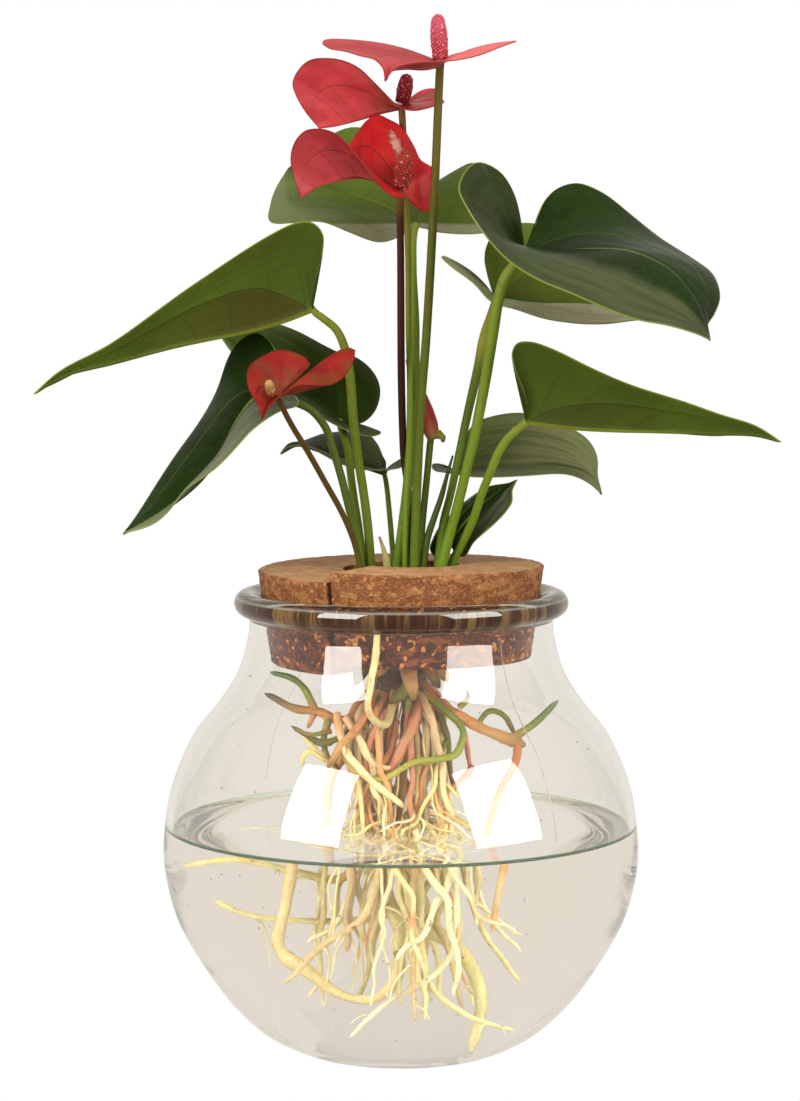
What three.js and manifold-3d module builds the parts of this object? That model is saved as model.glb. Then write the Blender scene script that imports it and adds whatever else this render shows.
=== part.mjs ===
// An anthurium growing on water: a round glass vase, a cork collar in its mouth, and the plant
// that the collar holds, with its roots in the water.
// Millimetres, +Z up. The origin is under the middle of the vase, on the face that it stands on.
// -Y is the front and +X is to the right.

import * as THREE from 'three';
import { mergeVertices } from 'three/addons/utils/BufferGeometryUtils.js';
import Module from 'manifold-3d';

const wasm = await Module();
wasm.setup();

// Driving dimensions
const gap = 0.3;
const turns = 32;
const glassWall = 3;
const glassFloor = 7;
const floorDish = 0.8;
const footRadius = 36;
const rimHeight = 180;
const rimRadius = 66.5;
const rimTube = 4.9;
const waterLevel = 90;
const corkTop = 194;
const corkHeight = 37;
const corkTopRadius = 57;
const corkBottomRadius = 51.8;
const corkHoleRadius = 23;
const corkChamfer = 0.8;
const corkSlitAngle = -119.5;
const corkSlitWidth = 0.8;
const corkLift = { right: 2.6, left: -1.2 };
const crownTop = 183;
const socketDepth = 6;
const bladeThickness = 0.8;
const spatheThickness = 0.7;
const bladeArch = 0.05;
const edgeWave = 0.5;
const edgeWaves = 19;

const toRadians = THREE.MathUtils.degToRad;
const point = (x, y, z) => new THREE.Vector3(x, y, z);
const points = (list) => list.map(([x, y, z]) => point(x, y, z));
const curveThrough = (list) => new THREE.CatmullRomCurve3(points(list), false, 'centripetal');

// Glass outline as [radius, height], from the foot to the throat under the rim
const glassOutline = [
  [footRadius, 0], [44, 2], [57.5, 9.5], [70.5, 22.5], [81.5, 38.5], [89.6, 54], [94.2, 70],
  [95, 84], [93, 101], [88.5, 115.5], [82, 128.5], [74.4, 138], [67.4, 148], [63.2, 158],
  [60.8, 168], [60.6, 174],
];

// Solids

function geometryOf(vertices, triangles) {
  const geometry = new THREE.BufferGeometry();
  const places = vertices.flatMap((vertex) => vertex.toArray());
  geometry.setAttribute('position', new THREE.Float32BufferAttribute(places, 3));
  geometry.setIndex(triangles.flat());
  return outward(geometry);
}

// Turns every triangle over when the closed surface has its faces pointing in.
function outward(geometry) {
  const position = geometry.getAttribute('position');
  const index = geometry.getIndex();
  const [a, b, c] = [point(0, 0, 0), point(0, 0, 0), point(0, 0, 0)];
  let volume = 0;
  for (let i = 0; i < index.count; i += 3) {
    a.fromBufferAttribute(position, index.getX(i));
    b.fromBufferAttribute(position, index.getX(i + 1));
    c.fromBufferAttribute(position, index.getX(i + 2));
    volume += a.dot(b.cross(c));
  }
  if (volume < 0) {
    for (let i = 0; i < index.count; i += 3) {
      const second = index.getX(i + 1);
      index.setX(i + 1, index.getX(i + 2));
      index.setX(i + 2, second);
    }
  }
  return geometry;
}

function welded(geometry) {
  geometry.deleteAttribute('normal');
  geometry.deleteAttribute('uv');
  return mergeVertices(geometry, 1e-4);
}

function solidOf(geometry) {
  const merged = welded(geometry.clone());
  return new wasm.Manifold(new wasm.Mesh({
    numProp: 3,
    vertProperties: new Float32Array(merged.getAttribute('position').array),
    triVerts: new Uint32Array(merged.getIndex().array),
  }));
}

function geometryOfSolid(solid) {
  const mesh = solid.getMesh();
  const geometry = new THREE.BufferGeometry();
  geometry.setAttribute('position', new THREE.Float32BufferAttribute(mesh.vertProperties, 3));
  geometry.setIndex(Array.from(mesh.triVerts));
  return geometry;
}

// Skins a row of rings that all have the same number of points, and closes both ends.
function skinned(rings) {
  const sides = rings[0].length;
  const triangles = [];
  for (let ring = 0; ring < rings.length - 1; ring += 1) {
    for (let side = 0; side < sides; side += 1) {
      const a = ring * sides + side;
      const b = ring * sides + ((side + 1) % sides);
      triangles.push([a, b, b + sides], [a, b + sides, a + sides]);
    }
  }
  const last = (rings.length - 1) * sides;
  for (let side = 1; side < sides - 1; side += 1) {
    triangles.push([0, side + 1, side], [last, last + side, last + side + 1]);
  }
  return geometryOf(rings.flat(), triangles);
}

// A closed round bar along a smooth curve, with its radius given from start to end.
function bar(route, radii, { sides = 6, steps = 8, grow = 0 } = {}) {
  const curve = curveThrough(route);
  const frames = curve.computeFrenetFrames(steps, false);
  const rings = [];
  for (let step = 0; step <= steps; step += 1) {
    const at = step / steps;
    const radius = along(radii, at) + grow;
    const centre = curve.getPointAt(at);
    if (step === 0) centre.addScaledVector(frames.tangents[step], -grow);
    if (step === steps) centre.addScaledVector(frames.tangents[step], grow);
    rings.push(Array.from({ length: sides }, (_, side) => {
      const angle = (side / sides) * Math.PI * 2;
      return centre.clone()
        .addScaledVector(frames.normals[step], Math.cos(angle) * radius)
        .addScaledVector(frames.binormals[step], Math.sin(angle) * radius);
    }));
  }
  return skinned(rings);
}

// Value at a place from 0 to 1 along evenly spaced values.
function along(values, at) {
  const place = THREE.MathUtils.clamp(at, 0, 1) * (values.length - 1);
  const first = Math.min(Math.floor(place), values.length - 2);
  return THREE.MathUtils.lerp(values[first], values[first + 1], place - first);
}

function turned(profile, segments = turns) {
  const lathe = new THREE.LatheGeometry(profile.map(([r, z]) => new THREE.Vector2(r, z)), segments);
  lathe.rotateX(Math.PI / 2);
  return outward(welded(lathe));
}

// Glass vase

// Points along the wall's outline, moved in by the inset
function wallCurve(inset) {
  const outline = new THREE.SplineCurve(glassOutline.map(([r, z]) => new THREE.Vector2(r, z)));
  const samples = [];
  const steps = 13;
  for (let step = 0; step <= steps; step += 1) {
    const place = outline.getPointAt(step / steps);
    const way = outline.getTangentAt(step / steps);
    samples.push([place.x - way.y * inset, place.y + way.x * inset]);
  }
  return samples;
}

const innerWall = wallCurve(glassWall).filter(([, z]) => z > glassFloor + 2 * floorDish);

function vaseGeometry() {
  const bead = [];
  for (let angle = -75; angle <= 195; angle += 30) {
    const turn = toRadians(angle);
    bead.push([
      rimRadius - rimTube + rimTube * Math.cos(turn),
      rimHeight + rimTube * Math.sin(turn),
    ]);
  }
  const inside = [...innerWall].reverse();
  const floor = [[footRadius, glassFloor + floorDish], [0, glassFloor]];
  return turned([[0, 0], ...wallCurve(0), ...bead, ...inside, ...floor]);
}

// Water, with a plain hole round each root

function waterGeometry(rootHoles) {
  const side = innerWall.filter(([, z]) => z < waterLevel - 3).map(([r, z]) => [r - gap, z + gap]);
  const above = innerWall.find(([, z]) => z >= waterLevel);
  const below = side[side.length - 1];
  const reach = THREE.MathUtils.mapLinear(waterLevel, below[1], above[1], below[0], above[0] - gap);
  const bottom = [[0, glassFloor + gap], [footRadius - gap, glassFloor + floorDish + gap]];
  let water = solidOf(turned([...bottom, ...side, [reach, waterLevel], [0, waterLevel]]));
  for (const hole of rootHoles) water = water.subtract(hole);
  return geometryOfSolid(water);
}

// Cork collar: one ring cut through at the slit, whose two ends have slipped past each other

function corkGeometry() {
  const half = THREE.MathUtils.radToDeg(corkSlitWidth / 2 / corkHoleRadius);
  const steps = 32;
  const rings = [];
  const bottom = corkTop - corkHeight;
  const section = [
    [corkHoleRadius, bottom], [corkBottomRadius - corkChamfer, bottom],
    [corkBottomRadius, bottom + corkChamfer], [corkTopRadius, corkTop - corkChamfer],
    [corkTopRadius - corkChamfer, corkTop], [corkHoleRadius, corkTop],
  ];
  for (let step = 0; step <= steps; step += 1) {
    const share = step / steps;
    const angle = toRadians(THREE.MathUtils.lerp(corkSlitAngle + half, corkSlitAngle + 360 - half, share));
    const lift = THREE.MathUtils.lerp(corkLift.right, corkLift.left, share);
    rings.push(section.map(([r, z]) => point(r * Math.cos(angle), r * Math.sin(angle), z + lift)));
  }
  return skinned(rings);
}

// Leaf blades and spathes: one sheet from the midrib to the margins, given its thickness

// The left and right margins run from the stalk round their lobe to the tip. Rays run out to the lobe from
// the stalk, and to the rest of the margin from the midrib. The sheet arches between and waves at its edge.
function bladeSheet(blade, lobeRows, bodyRows, columns) {
  const rows = lobeRows + bodyRows;
  const smooth = (list) => curveThrough([blade.at, ...list, blade.tip]);
  const rib = smooth(blade.rib);
  const origin = point(...blade.at);
  const way = point(...blade.tip).sub(origin);
  const vertices = [];
  const triangles = [];
  const known = new Map();
  const add = (place) => {
    const key = place.toArray().map((value) => value.toFixed(3)).join();
    if (!known.has(key)) {
      known.set(key, vertices.length);
      vertices.push(place);
    }
    return known.get(key);
  };
  for (const [side, margin] of [[1, blade.left], [-1, blade.right]]) {
    const edge = smooth(margin);
    const lobeEnd = lobeShare(edge, origin, way);
    const grid = [];
    for (let row = 0; row <= rows; row += 1) {
      const reached = Math.max(0, (row - lobeRows) / bodyRows);
      const at = row < lobeRows ? (row / lobeRows) * lobeEnd : THREE.MathUtils.lerp(lobeEnd, 1, reached);
      const foot = rib.getPointAt(reached);
      const ray = edge.getPoint(at).sub(foot);
      const up = edge.getTangent(at).cross(ray.clone().normalize()).multiplyScalar(row < rows ? side : 0);
      grid.push(Array.from({ length: columns + 1 }, (_, column) => {
        const share = column / columns;
        const arch = bladeArch * 4 * share * (1 - share) * ray.length();
        const wave = edgeWave * Math.sin(at * edgeWaves) * share ** 2;
        return add(foot.clone().addScaledVector(ray, share).addScaledVector(up, arch + wave));
      }));
    }
    for (let row = 0; row < rows; row += 1) {
      for (let column = 0; column < columns; column += 1) {
        const [near, nearOut] = [grid[row][column], grid[row][column + 1]];
        const [next, nextOut] = [grid[row + 1][column], grid[row + 1][column + 1]];
        for (const [a, b, c] of [[near, next, nextOut], [near, nextOut, nearOut]]) {
          if (a !== b && b !== c && c !== a) triangles.push(side > 0 ? [a, b, c] : [a, c, b]);
        }
      }
    }
  }
  return { vertices, triangles };
}

// Share of a margin that lies behind the stalk, as far as the ray that leaves the stalk straight sideways.
function lobeShare(edge, origin, way) {
  const samples = 60;
  let last = 0;
  for (let sample = 1; sample <= samples / 2; sample += 1) {
    const passed = edge.getPoint(sample / samples).sub(origin).dot(way) / way.lengthSq();
    if (passed < 0.08) last = sample;
  }
  return Math.max(last / samples, 0.12);
}

// Gives a sheet its thickness: the same triangles on both faces, and a strip along the edge.
function thickened({ vertices, triangles }, thickness) {
  const sheet = new THREE.BufferGeometry();
  sheet.setAttribute('position', new THREE.Float32BufferAttribute(vertices.flatMap((v) => v.toArray()), 3));
  sheet.setIndex(triangles.flat());
  sheet.computeVertexNormals();
  const normal = sheet.getAttribute('normal');
  const offset = (amount) => vertices.map((v, i) => v.clone()
    .addScaledVector(point(normal.getX(i), normal.getY(i), normal.getZ(i)), amount));
  const count = vertices.length;
  const faces = [...triangles, ...triangles.map(([a, b, c]) => [a + count, c + count, b + count])];
  const used = new Set(triangles.flatMap(([a, b, c]) => [`${a},${b}`, `${b},${c}`, `${c},${a}`]));
  for (const [a, b, c] of triangles) {
    for (const [from, to] of [[a, b], [b, c], [c, a]]) {
      if (!used.has(`${to},${from}`)) faces.push([from, from + count, to + count], [from, to + count, to]);
    }
  }
  return geometryOf([...offset(thickness / 2), ...offset(-thickness / 2)], faces);
}

// Leaves: the stalk as a route from the crown, and the blade that it carries

const leaves = {
  leaf_1: {
    stalk: [[-12, 1, 195], [-13.1, 1, 209], [-14.8, 1, 223], [-16.8, 0, 236], [-19, -2, 254],
      [-20.2, -3, 270], [-22.3, -4, 281.5], [-25.6, -5, 288.6], [-29.5, -5.8, 292], [-34.7, -6.9, 296]],
    radii: [1.9, 1.8, 1.8, 1.9, 1.4],
    blade: {
      at: [-35, -7, 296.6],
      tip: [-144.5, -9, 263.5],
      rib: [[-45.5, -7, 292.5], [-59.5, -7, 288.5], [-89.5, -7.5, 282], [-113.5, -8, 275.5],
        [-132.5, -8.5, 270.5]],
      left: [[-33.5, -12, 308.5], [-30.5, -16, 319.5], [-30.5, -18, 326], [-34.5, -18.5, 330],
        [-41, -19, 330], [-51, -19, 325.5], [-81, -17, 306], [-113, -13, 283.5], [-134, -10.5, 272.5]],
      right: [[-35.5, 8, 304], [-40.5, 22, 311.5], [-53, 27, 312.5], [-75, 23, 300.5], [-100, 12, 287],
        [-124, 0, 274.5]],
    },
  },
  leaf_2: {
    stalk: [[-15.9, -1, 195], [-16.7, -1, 204], [-20.2, -1.5, 216], [-23.4, -2, 229], [-26.6, -2.5, 240],
      [-30, -3, 250], [-36, -3.5, 257], [-44.7, -4, 260.6]],
    radii: [1.6, 1.6, 1.6, 1.5],
    blade: {
      at: [-46, -4, 261.2],
      tip: [-109, -20, 209],
      rib: [[-56.5, -6, 262], [-63.5, -9, 254.5], [-71.5, -13, 239.5], [-80.5, -15, 228], [-95, -18, 217]],
      left: [[-41.5, -10, 262.5], [-40.5, -17, 259.5], [-47, -26, 257.5], [-55.5, -32, 251.5],
        [-63, -35, 244.5], [-72, -36, 236], [-83, -32, 227], [-90.5, -26, 218], [-98, -23, 213]],
      right: [[-47.5, -2, 271.5], [-51, 4, 282], [-57.5, 8, 287], [-64.5, 12, 283.5], [-69, 14, 276.5],
        [-74, 14, 264], [-81, 10, 251], [-90.5, 2, 236.5], [-100, -8, 222], [-106.5, -17, 212.5]],
    },
  },
  leaf_3: {
    stalk: [[-15.2, 5, 195], [-16.8, 6.5, 209], [-18.8, 7, 221], [-20, 7, 230], [-21.2, 9, 240],
      [-23, 17, 246], [-24, 24.6, 248.2]],
    radii: [1.6, 1.5, 1.6, 1.5],
    blade: {
      at: [-25, 28, 250.6],
      tip: [-78.5, 72, 288.5],
      rib: [[-32.5, 35, 257.5], [-42, 42, 263], [-60.5, 56, 275.5]],
      left: [[-16, 23, 247.5], [-8, 17, 247], [-14, 11, 245.5], [-22.5, 9, 248], [-34.5, 12, 255],
        [-47, 22, 261], [-59.5, 38, 268], [-70, 56, 278]],
      right: [[-16.5, 31, 249.5], [-10.5, 36, 254.5], [-8.5, 41, 262.5], [-11, 45, 269], [-18, 50, 275.5],
        [-27, 54, 278.5], [-44, 62, 286.5], [-55.5, 66, 290], [-68, 70, 291.5]],
    },
  },
  leaf_4: {
    stalk: [[-3, 9.5, 195], [-3.8, 11, 205], [-4.8, 15, 216], [-5.8, 20, 225], [-6.6, 24.8, 228.9]],
    radii: [1.1, 1.1, 1.0],
    blade: {
      at: [-6.9, 26, 229.8],
      tip: [-49, 28, 237.5],
      rib: [[-15, 25, 232.5], [-23.5, 24, 235.5], [-33.5, 25, 239], [-42, 27, 241]],
      left: [[-3, 23, 234], [0.5, 20, 236], [-0.5, 14, 233], [-7, 13, 231.5], [-15, 13, 232],
        [-23.5, 14, 234.5], [-31.5, 17, 237.5], [-39.5, 22, 241], [-46, 26, 240.5]],
      right: [[-6, 29, 233.5], [-7.5, 32, 236.5], [-9.5, 37, 240.5], [-14, 41, 244.5], [-21, 43, 246],
        [-30.5, 41, 245], [-39.5, 35, 242], [-46, 31, 241.5]],
    },
  },
  leaf_5: {
    stalk: [[-1.2, 4, 195], [0.4, 4.5, 208], [2.4, 6, 224], [3.8, 7, 240], [5.2, 8.3, 260], [5.4, 11, 290],
      [4.6, 14, 308], [4.4, 19, 322], [5, 21, 326.6]],
    radii: [2, 2, 2, 2, 1.5],
    blade: {
      at: [6, 24, 329.6],
      tip: [-48, 92, 354],
      rib: [[-6.5, 42, 337.5], [-25.5, 66, 344.5]],
      left: [[-0.5, 15, 325], [-8.5, 9, 323], [-20, 7, 326.5], [-31.5, 9, 330.5], [-43.5, 17, 331],
        [-52.5, 28, 331], [-53.5, 50, 338], [-52, 72, 346]],
      right: [[16.5, 14, 326.5], [33, 10, 326.5], [44.5, 16, 331], [46, 26, 340.5], [39.5, 38, 351],
        [28, 48, 355], [16, 58, 348.5], [6, 65, 354.5], [-6.5, 72, 366.5], [-20.5, 79, 371],
        [-35, 86, 365]],
    },
  },
  leaf_6: {
    stalk: [[16.3, -2.5, 195], [19.8, -3, 209], [23, -4, 221], [25.8, -5.5, 233], [28.9, -7, 246],
      [33.2, -9, 269], [36, -11, 287], [38.1, -12, 300], [41, -12.6, 309], [47.5, -13, 317.1]],
    radii: [2.1, 2, 2, 2.1, 2.2, 1.8],
    blade: {
      at: [48, -13, 317.6],
      tip: [118.5, -40, 285],
      rib: [[60, -17, 319], [74.5, -23, 320], [88.5, -28, 319], [103.5, -32, 312], [114, -37, 299]],
      left: [[52, -8, 323.5], [54, -2, 333.5], [57.5, 4, 340], [63, 10, 344.5], [70.5, 14, 346],
        [80.5, 16, 342], [92, 15, 333.5], [103, 10, 325], [116.5, 0, 315.5], [122, -10, 309.5],
        [123.5, -22, 301], [121, -30, 295], [118, -36, 290.5]],
      right: [[46.5, -15, 323.5], [46, -18, 332], [43.5, -24, 341.5], [38, -30, 349.5], [30, -34, 353],
        [25, -38, 350.5], [21.5, -42, 343], [25, -46, 335], [35, -50, 321.5], [42.5, -52, 314.5],
        [52.5, -56, 308], [63.5, -59, 303], [76, -60, 297.5], [88, -58, 293.5], [102, -53, 291],
        [112, -47, 288]],
    },
  },
  leaf_7: {
    stalk: [[14.8, 3, 195], [16.8, 4, 211], [19.6, 5, 222], [23.9, 8, 242], [27, 11.5, 256],
      [30.4, 16, 270], [34, 21.5, 284], [38, 27.4, 298.4]],
    radii: [1.7, 1.6, 1.6, 1.9, 1.7],
    blade: {
      at: [38.4, 28, 299.4],
      tip: [108, 26, 292.5],
      rib: [[52, 28, 298], [75, 28, 298], [94.5, 27, 296]],
      left: [[36.5, 33, 306], [34, 39, 317], [36.5, 43, 324.5], [42.5, 46, 329], [53, 48, 331],
        [67, 48, 326.5], [83.5, 45, 315], [97, 36, 302.5]],
      right: [[36, 24, 303.5], [28, 17, 311.5], [16.5, 9, 317.5], [20, 4, 313], [28, 0, 306.5],
        [35.5, -3, 299.5], [45, -4, 297], [57.5, -4, 292.5], [68.5, -1, 290.5], [80, 5, 290.5],
        [93.5, 14, 292]],
    },
  },
  leaf_8: {
    stalk: [[20.3, 1.5, 195], [24.6, 0, 204], [28.6, -2, 213], [32.1, -5, 224], [35.5, -8, 233],
      [39, -10.4, 241.5], [43.4, -12.2, 247.5], [49, -13.9, 252.2]],
    radii: [1.8, 1.7, 1.7, 1.6],
    blade: {
      at: [49.4, -14, 252.6],
      tip: [149, -15, 245],
      rib: [[68, -14, 250.5], [84.5, -14, 249.5], [101, -14, 249], [125, -14.5, 248], [138.5, -15, 247.5]],
      left: [[52, 2, 259], [57, 14, 263], [72, 19, 260.5], [92, 16, 254], [111, 6, 247.5], [123, -3, 246],
        [136.5, -11, 247.5]],
      right: [[48.5, -20, 263.5], [44.5, -23, 273], [43, -24.5, 280], [45, -25, 283.5], [50, -25.5, 284],
        [58.5, -25.5, 281.5], [75.5, -24.5, 273.5], [90.5, -23, 267], [110.5, -20.5, 260.5],
        [124, -18.5, 256], [138.5, -16.5, 251.5]],
    },
  },
  leaf_9: {
    stalk: [[14.5, 14, 195], [16, 19.5, 205], [18.6, 26, 216], [21.2, 32, 225.2], [22, 34.8, 228.2]],
    radii: [1.4, 1.3, 1.3],
    blade: {
      at: [22.4, 36, 229.4],
      tip: [82.5, 39, 220],
      rib: [[40.5, 36, 231], [64, 37, 232], [75, 38, 229.5], [80, 39, 224.5]],
      left: [[23, 40, 236.5], [26.5, 44, 243.5], [30, 48, 248.5], [36.5, 51, 251], [50, 54, 252.5],
        [61.5, 53, 250], [71.5, 49, 246], [77.5, 46, 241], [80.5, 43, 235], [81, 41, 227.5]],
      right: [[18.5, 31, 232.5], [13, 26, 233.5], [14, 20, 231], [19.5, 15, 230], [30, 13, 229.5],
        [51, 14, 229.5], [67.5, 22, 229], [77, 31, 225.5]],
    },
  },
  leaf_10: {
    stalk: [[17.6, 6.5, 195], [18.4, 8.5, 199], [19, 9.4, 200.4]],
    radii: [1.2, 1.2, 1.1],
    blade: {
      at: [20, 12, 203],
      tip: [46.5, 6, 228.5],
      rib: [[24.5, 10, 209.5], [31.5, 8, 217.5], [39.5, 7, 224]],
      left: [[17.5, 10.5, 198.5], [14, 9.5, 197], [11.5, 9, 200.5], [13, 9, 205.5], [16, 9.5, 210],
        [25, 9.5, 219], [35, 8.5, 225.5], [42.5, 7.5, 227]],
      right: [[22, 9, 198.5], [25, 6, 197.5], [29, 4, 203], [34.5, 3, 208.5], [41.5, 3, 215.5],
        [44.5, 4, 219.5], [44.5, 5, 224.5]],
    },
  },
};

// Blooms: the stalk, the spathe that it carries and the spadix that stands on the spathe

const blooms = {
  bloom_1: {
    stalk: [[5.2, -1.5, 195], [6.3, -4, 226], [7.9, -7, 260], [9.8, -9, 284], [12.9, -14, 339],
      [15.1, -16.9, 390.4]],
    radii: [1.8, 1.8, 1.7, 1.6],
    spathe: {
      at: [15.2, -17, 391.2],
      tip: [-6, -68, 382],
      rib: [[9, -32, 389], [1.5, -48, 388], [-4, -61, 386]],
      left: [[19, -6, 395], [29, 1, 398], [39, 0, 400.5], [45, -11, 400], [38, -28, 397], [26, -42, 392.5],
        [14.5, -53, 389.5], [4, -61, 388.5], [-2.5, -65, 387]],
      right: [[11.5, -6, 394], [-0.5, 3, 398.5], [-12.5, 4, 401.5], [-26, -3, 401.5], [-30.5, -14, 399.5],
        [-27.5, -26, 397], [-21.5, -37, 395], [-15.5, -47, 392], [-9.5, -57, 390], [-6.5, -63, 387]],
    },
    spadix: { from: [15.2, -17, 393.2], to: [14.1, -17.3, 410.4], radii: [2.7, 3.2, 3.1, 1.9] },
  },
  bloom_2: {
    stalk: [[1.6, 0.5, 195], [2.4, 1, 222], [3.2, 2.2, 240], [3.6, 3.5, 265], [3, 4.4, 290],
      [2.8, 4.6, 318], [2, 4.6, 340], [0.3, 3, 374.7]],
    radii: [1.3, 1.3, 1.2, 1.4],
    spathe: {
      at: [0.2, 3, 375.6],
      tip: [-32.5, -1, 367.5],
      rib: [[-8.5, 2, 373.5], [-16, 1, 371], [-25, 0, 368.5]],
      left: [[6, 2, 377], [13, -1, 379], [17, -5, 377.5], [11.5, -9, 375.5], [4.5, -10, 374],
        [-2, -9, 375.5], [-6.5, -8, 380], [-11.5, -8, 385.5], [-16, -9, 390], [-22, -10, 393],
        [-29, -10, 394], [-36, -8, 393], [-40.5, -6, 389], [-42.5, -4, 384.5], [-41, -3, 379.5],
        [-37.5, -2, 373.5]],
      right: [[3.5, 9, 379.5], [9, 13, 383], [14.5, 18, 383.5], [14, 25, 380.5], [3.5, 31, 378.5],
        [-8.5, 32, 378], [-20.5, 25, 376.5], [-28, 12, 372]],
    },
    spadix: { from: [0.5, 3, 377.7], to: [2.6, 1.6, 388.6], radii: [2.4, 3, 2.9, 1.8] },
  },
  bloom_3: {
    stalk: [[4.5, 8, 195], [3.2, 10.4, 222], [1.2, 11.2, 237], [0.6, 7.5, 250], [0.2, 3.2, 266],
      [0, -2, 286], [-0.1, -7, 312], [-0.4, -13.2, 340.2]],
    radii: [1.5, 1.5, 1.5, 1.4],
    spathe: {
      at: [-0.5, -14, 342.6],
      tip: [-39, -20, 339.5],
      rib: [[-8, -14, 346], [-16, -14, 348], [-25.5, -16, 346.5], [-33.5, -18, 343.5]],
      left: [[1, -19, 339.5], [-3, -23, 340], [-8.5, -24, 345], [-15, -25, 353], [-20.5, -27, 359.5],
        [-24.5, -28, 363.5], [-30.5, -28, 366], [-36.5, -27, 365.5], [-40.5, -26, 361.5],
        [-42.5, -24, 355.5], [-42, -22, 349.5], [-40.5, -21, 344]],
      right: [[3, -13, 339.5], [7.5, -11, 335], [11.5, -8, 335], [14, -5, 342.5], [13, -4, 351],
        [7.5, -4, 354.5], [5, -3, 360], [0, -2, 368], [-5, -1, 371], [-9.5, 0, 372.5], [-14, -1, 369.5],
        [-19, -5, 362.5], [-27.5, -11, 352], [-34.5, -17, 344]],
    },
    spadix: { from: [-0.2, -17, 344.4], to: [1.8, -18, 357.6], radii: [2.7, 3.3, 3.2, 2] },
  },
  bloom_4: {
    stalk: [[-16.3, -6, 195], [-18.6, -8, 205], [-22.9, -12, 216], [-29.6, -19, 229], [-36.1, -27, 241.5],
      [-42.5, -35, 253], [-46.9, -41.5, 262.4]],
    radii: [1.2, 1.2, 1.1],
    spathe: {
      at: [-47.2, -42, 263],
      tip: [-53, -52, 255.5],
      rib: [[-49.5, -46, 262.5], [-51.5, -50, 259.5]],
      left: [[-37.5, -38, 268.5], [-31, -32, 276], [-25, -29, 280.5], [-20, -28, 282], [-17.5, -30, 280.5],
        [-18.5, -33, 276], [-21.5, -37, 271.5], [-26, -40, 268.5], [-33, -44, 268], [-39, -47, 268],
        [-44.5, -50, 265.5], [-49.5, -52, 261]],
      right: [[-42, -35, 268.5], [-35, -29, 276.5], [-40, -30, 280], [-47.5, -32, 281], [-54, -36, 278.5],
        [-58, -40, 275.5], [-59, -44, 271], [-58, -47, 266.5], [-54.5, -51, 261]],
    },
    spadix: { from: [-49, -48.2, 264.6], to: [-50.6, -50.6, 270.2], radii: [1.6, 1.8, 1.2] },
  },
};

const bud = {
  stalk: [[7.5, 5, 195], [8.5, 8, 210], [10.2, 12, 227], [11.8, 15, 243]],
  radii: [1.4, 1.4, 1.4],
  from: [12, 15, 244.4],
  to: [2.2, 16, 276],
};

const sheaths = {
  sheath_1: { route: [[-5.6, -5, 195], [-6.6, -5, 200.5], [-8.6, -5, 206.6]], radii: [2, 1.9, 1.4, 0.4] },
  sheath_2: {
    route: [[9.1, 0.5, 195], [10.4, 0, 205], [13.1, 0, 213.5], [16, 0, 222], [18.4, 0, 231],
      [20.6, 0, 238.5]],
    radii: [1.2, 1.5, 1.4, 1.1, 0.4],
  },
};

// Every stalk stands in a socket in the crown. Below the collar's top it leans in a little.
const lean = 0.88;

function rooted(route) {
  const [x, y] = route[0];
  const halfway = (1 + lean) / 2;
  return [[x * lean, y * lean, crownTop - socketDepth], [x * halfway, y * halfway, crownTop + 2], ...route];
}

// A knobbly spike: rings whose points stand out in turn.
function spadixGeometry({ from, to, radii }) {
  const sides = 10;
  const rows = 11;
  const start = point(...from);
  const way = point(...to).sub(start);
  const length = way.length();
  way.normalize();
  const across = point(1, 0, 0).cross(way).normalize();
  const over = way.clone().cross(across);
  const knob = 0.28;
  const dome = 0.8;
  const rings = [];
  for (let row = 0; row <= rows; row += 1) {
    const at = row / rows;
    const domed = Math.sqrt(Math.max(0.12, 1 - (Math.max(0, at - dome) / (1 - dome)) ** 2));
    rings.push(Array.from({ length: sides }, (_, side) => {
      const angle = ((side + (row % 2) / 2) / sides) * Math.PI * 2;
      const out = along(radii, at) * domed + (row > 0 && row < rows && (side + row) % 2 ? knob : 0);
      return start.clone().addScaledVector(way, at * length)
        .addScaledVector(across, Math.cos(angle) * out)
        .addScaledVector(over, Math.sin(angle) * out);
    }));
  }
  return skinned(rings);
}

// A spathe still rolled up: a spindle whose free edge winds round it as a step.
function budGeometry() {
  const sides = 12;
  const rows = 10;
  const start = point(...bud.from);
  const way = point(...bud.to).sub(start);
  const length = way.length();
  way.normalize();
  const across = point(0, 1, 0).cross(way).normalize();
  const over = way.clone().cross(across);
  const radii = [1.8, 3.3, 3.5, 3.1, 2.4, 1.5, 0.5];
  const widest = Math.max(...radii);
  const overlap = 0.55;
  const twist = 0.35;
  const rings = [];
  for (let row = 0; row <= rows; row += 1) {
    const at = row / rows;
    rings.push(Array.from({ length: sides }, (_, side) => {
      const share = side / sides;
      const wound = (share + at * twist) % 1;
      const out = along(radii, at) * (1 - (overlap / widest) * wound);
      const angle = share * Math.PI * 2;
      return start.clone().addScaledVector(way, at * length)
        .addScaledVector(across, Math.cos(angle) * out)
        .addScaledVector(over, Math.sin(angle) * out);
    }));
  }
  return skinned(rings);
}

// Crown and roots: the roots above the water spread under the collar, the rest go down into it

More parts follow.
